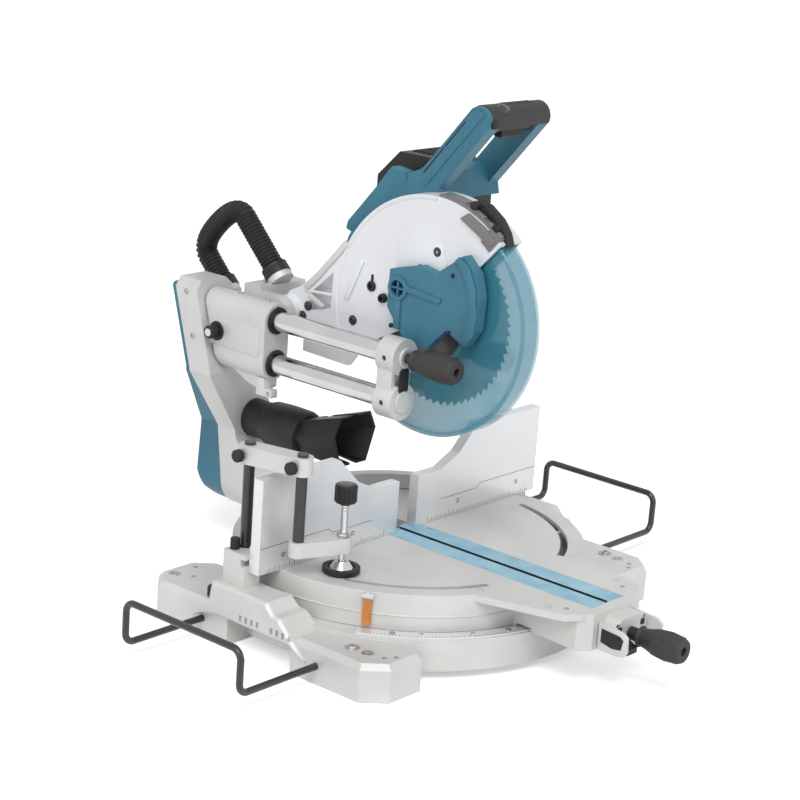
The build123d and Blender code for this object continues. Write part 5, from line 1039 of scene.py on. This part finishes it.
def fence_details(side, body):
    """A fence's ruler ticks, seam and black discs painted as the shade in its holes in front, and its screws
    and ribs behind.
    """
    marks = bmesh.new()
    for index in range(50):
        x = side * (0.050 + 0.005 * index)
        top = 0.1225 if index % 10 == 0 else 0.1195 if index % 2 == 0 else 0.1175
        block(marks, (x - 0.0003, -0.00012, 0.1130), (x + 0.0003, 0.0003, top))
    seam = [(0.0790, 0.1437), (0.1640, 0.1437), (0.1720, 0.1507), (0.3115, 0.1507), (0.3115, 0.1514),
            (0.1717, 0.1514), (0.1637, 0.1444), (0.0790, 0.1444)]
    plate(marks, [(side * x, z) for x, z in seam], "Y", -0.00012, 0.0005)
    # Black discs: painted shade in the fence's holes.
    sunk_hole(marks, (side * 0.2647, 0.0, 0.1343), FRONT, 0.0034)
    sunk_hole(marks, (side * 0.1200, 0.0, 0.1330), FRONT, 0.0034)
    piece(f"{body}_marks", marks, "black_plastic", body)

    screws = bmesh.new()
    for x, z in ((0.190, 0.168), (0.290, 0.168)):
        cap_screw(screws, (side * x, 0.017, z), REAR, 0.0045, 0.0030)
    stiffeners = bmesh.new()
    for x in (0.2000, 0.2950):
        block(stiffeners, (side * x - 0.003, 0.0165, 0.1750), (side * x + 0.003, 0.0225, 0.2440), 0.0010)
    piece(f"{body}_screws", screws, "steel", body)
    piece(f"{body}_ribs", stiffeners, "fence_alu", body)


def vise_details():
    """The vise screw's thread, knob cap and collar, the pad's cone and the nut in the arm."""
    thread = bmesh.new()
    loop = [(0.0047, -0.0011), (0.0054, -0.0002), (0.0054, 0.0002), (0.0047, 0.0011)]
    rim = [thread.verts.new((radius, 0.0, far)) for radius, far in loop]
    face = thread.faces.new(rim)
    turns, steps = 10, 16
    bmesh.ops.spin(thread, geom=[*rim, *face.edges, face], cent=(0, 0, 0), axis=(0, 0, 1),
                   angle=2 * math.pi * turns, dvec=(0, 0, VISE_PITCH / steps), steps=steps * turns)
    bmesh.ops.translate(thread, verts=thread.verts[:], vec=(*VISE_SCREW, 0.1655))
    piece("vise_thread", thread, "chrome", "vise_screw")

    cap = bmesh.new()
    turned(cap, [(0.2418, 0.0), (0.2418, 0.0118), (0.2426, 0.0112), (0.2430, 0.0060), (0.2430, 0.0)],
           (*VISE_SCREW, 0.0), UP, 32)
    ring(cap, 0.0051, 0.0086, 0.2125, 0.2165, (*VISE_SCREW, 0.0), UP, 0.0008, 28)
    piece("vise_knob_cap", cap, "black_steel", "vise_screw")

    cone = bmesh.new()
    profile = [(0.1176, 0.0186), (0.1210, 0.0162), (0.1250, 0.0128), (0.1296, 0.0094), (0.1296, 0.0060),
               (0.1176, 0.0060), (0.1176, 0.0186)]
    turned(cone, profile, (*VISE_SCREW, 0.0), UP, 40)
    piece("vise_pad_cone", cone, "chrome", "vise_pad")

    nut = bmesh.new()
    ring(nut, 0.0056, 0.0095, 0.1652, 0.1700, (*VISE_SCREW, 0.0), UP, 0.0008, 6)
    piece("vise_nut", nut, "steel", "vise_arm")


fence_details(-1, "fence_left")
fence_details(1, "fence_right")
vise_details()


# Room, light and camera

FLOOR_GLOW = 0.42
SKY_LIGHT = 0.50
HORIZON = (0.62, 0.63, 0.65)
SAW_MIDDLE = (0.0, 0.0, 0.35)
VIEWPOINT = (-2.2672, -1.8725, 1.1520)
VIEW_ANGLES = (-50.0, 15.8, -4.15)


def seen_directly(tree):
    """1 for what is seen straight, mirrored or through the guard; 0 for light on the saw."""
    path = tree.nodes.new("ShaderNodeLightPath")
    mirrored = maths(tree, "MAXIMUM", path.outputs["Is Camera Ray"], path.outputs["Is Glossy Ray"])
    return maths(tree, "MAXIMUM", mirrored, path.outputs["Is Transmission Ray"])


def floor():
    """White paper that keeps the saw's shadow."""
    made, tree, shader = material("floor_paper")
    grain = place_group(tree, GRAIN, Pit_Scale=300.0, Cloud_Scale=1.5)
    colour = blend_colours(tree, grain.outputs["Cloud"], (0.87, 0.87, 0.87), (0.89, 0.89, 0.89))
    tree.links.new(colour, shader.inputs["Base Color"])
    tree.links.new(spread(tree, grain.outputs["Cloud"], 0.7, 0.8), shader.inputs["Roughness"])
    shader.inputs["Emission Color"].default_value = (*WHITE, 1.0)
    glow = maths(tree, "MULTIPLY", seen_directly(tree), FLOOR_GLOW)
    tree.links.new(glow, shader.inputs["Emission Strength"])
    shape = bmesh.new()
    bmesh.ops.create_grid(shape, x_segments=1, y_segments=1, size=30.0)
    mesh = bpy.data.meshes.new("floor")
    shape.to_mesh(mesh)
    shape.free()
    mesh.materials.append(made)
    sheet = bpy.data.objects.new("floor", mesh)
    sheet.location.z = -0.0005
    bpy.context.scene.collection.objects.link(sheet)


def lamp(name, place, size, power):
    """A soft lamp that faces the saw."""
    light = bpy.data.lights.new(name, "AREA")
    light.energy = power
    light.shape = "RECTANGLE"
    light.size, light.size_y = size
    holder = bpy.data.objects.new(name, light)
    holder.location = place
    holder.rotation_euler = (Vector(SAW_MIDDLE) - Vector(place)).to_track_quat("-Z", "Y").to_euler()
    bpy.context.scene.collection.objects.link(holder)


def daylight():
    """A pale sky, which the camera sees as plain white."""
    world = bpy.data.worlds.new("studio")
    world.use_nodes = True
    tree = world.node_tree
    back = tree.nodes["Background"]
    place = tree.nodes.new("ShaderNodeTexCoord")
    split = tree.nodes.new("ShaderNodeSeparateXYZ")
    tree.links.new(place.outputs["Generated"], split.inputs["Vector"])
    height = ramp(tree, split.outputs["Z"], 0.0, 0.9)
    sky = blend_colours(tree, height, HORIZON, WHITE)
    seen = seen_directly(tree)
    tree.links.new(blend_colours(tree, seen, sky, WHITE), back.inputs["Color"])
    tree.links.new(spread(tree, seen, SKY_LIGHT, 1.0), back.inputs["Strength"])
    bpy.context.scene.world = world


def sun(name, direction, strength, angle):
    """Even light from one side; a wider angle softens its shadow."""
    light = bpy.data.lights.new(name, "SUN")
    light.energy = strength
    light.angle = math.radians(angle)
    holder = bpy.data.objects.new(name, light)
    holder.rotation_euler = Vector(direction).to_track_quat("-Z", "Y").to_euler()
    bpy.context.scene.collection.objects.link(holder)


def photo_camera():
    """The photograph's viewpoint: a long lens, from the front left, a little above, turned slightly."""
    azimuth, elevation, roll = (math.radians(angle) for angle in VIEW_ANGLES)
    ahead = Vector((-math.sin(azimuth) * math.cos(elevation), math.cos(azimuth) * math.cos(elevation),
                    -math.sin(elevation)))
    side = Vector((math.cos(azimuth), math.sin(azimuth), 0.0))
    below = -side.cross(ahead)
    right = side * math.cos(roll) + below * math.sin(roll)
    down = below * math.cos(roll) - side * math.sin(roll)
    lens = bpy.data.cameras.new("photo_camera")
    lens.sensor_width = 36.0
    lens.lens = 93.6
    lens.shift_y = -0.00625
    lens.clip_end = 100.0
    holder = bpy.data.objects.new("photo_camera", lens)
    turn = Matrix((right, -down, -ahead)).transposed().to_4x4()
    holder.matrix_world = Matrix.Translation(VIEWPOINT) @ turn
    bpy.context.scene.collection.objects.link(holder)
    bpy.context.scene.camera = holder


bpy.context.scene.view_settings.view_transform = "Standard"
floor()
daylight()
sun("high_light", direction=(0.55, 0.45, -0.95), strength=1.35, angle=25.0)
lamp("left_window", place=(-2.6, -0.4, 1.6), size=(1.6, 1.6), power=18.0)
lamp("front_window", place=(0.6, -3.0, 1.5), size=(2.0, 1.4), power=20.0)
photo_camera()
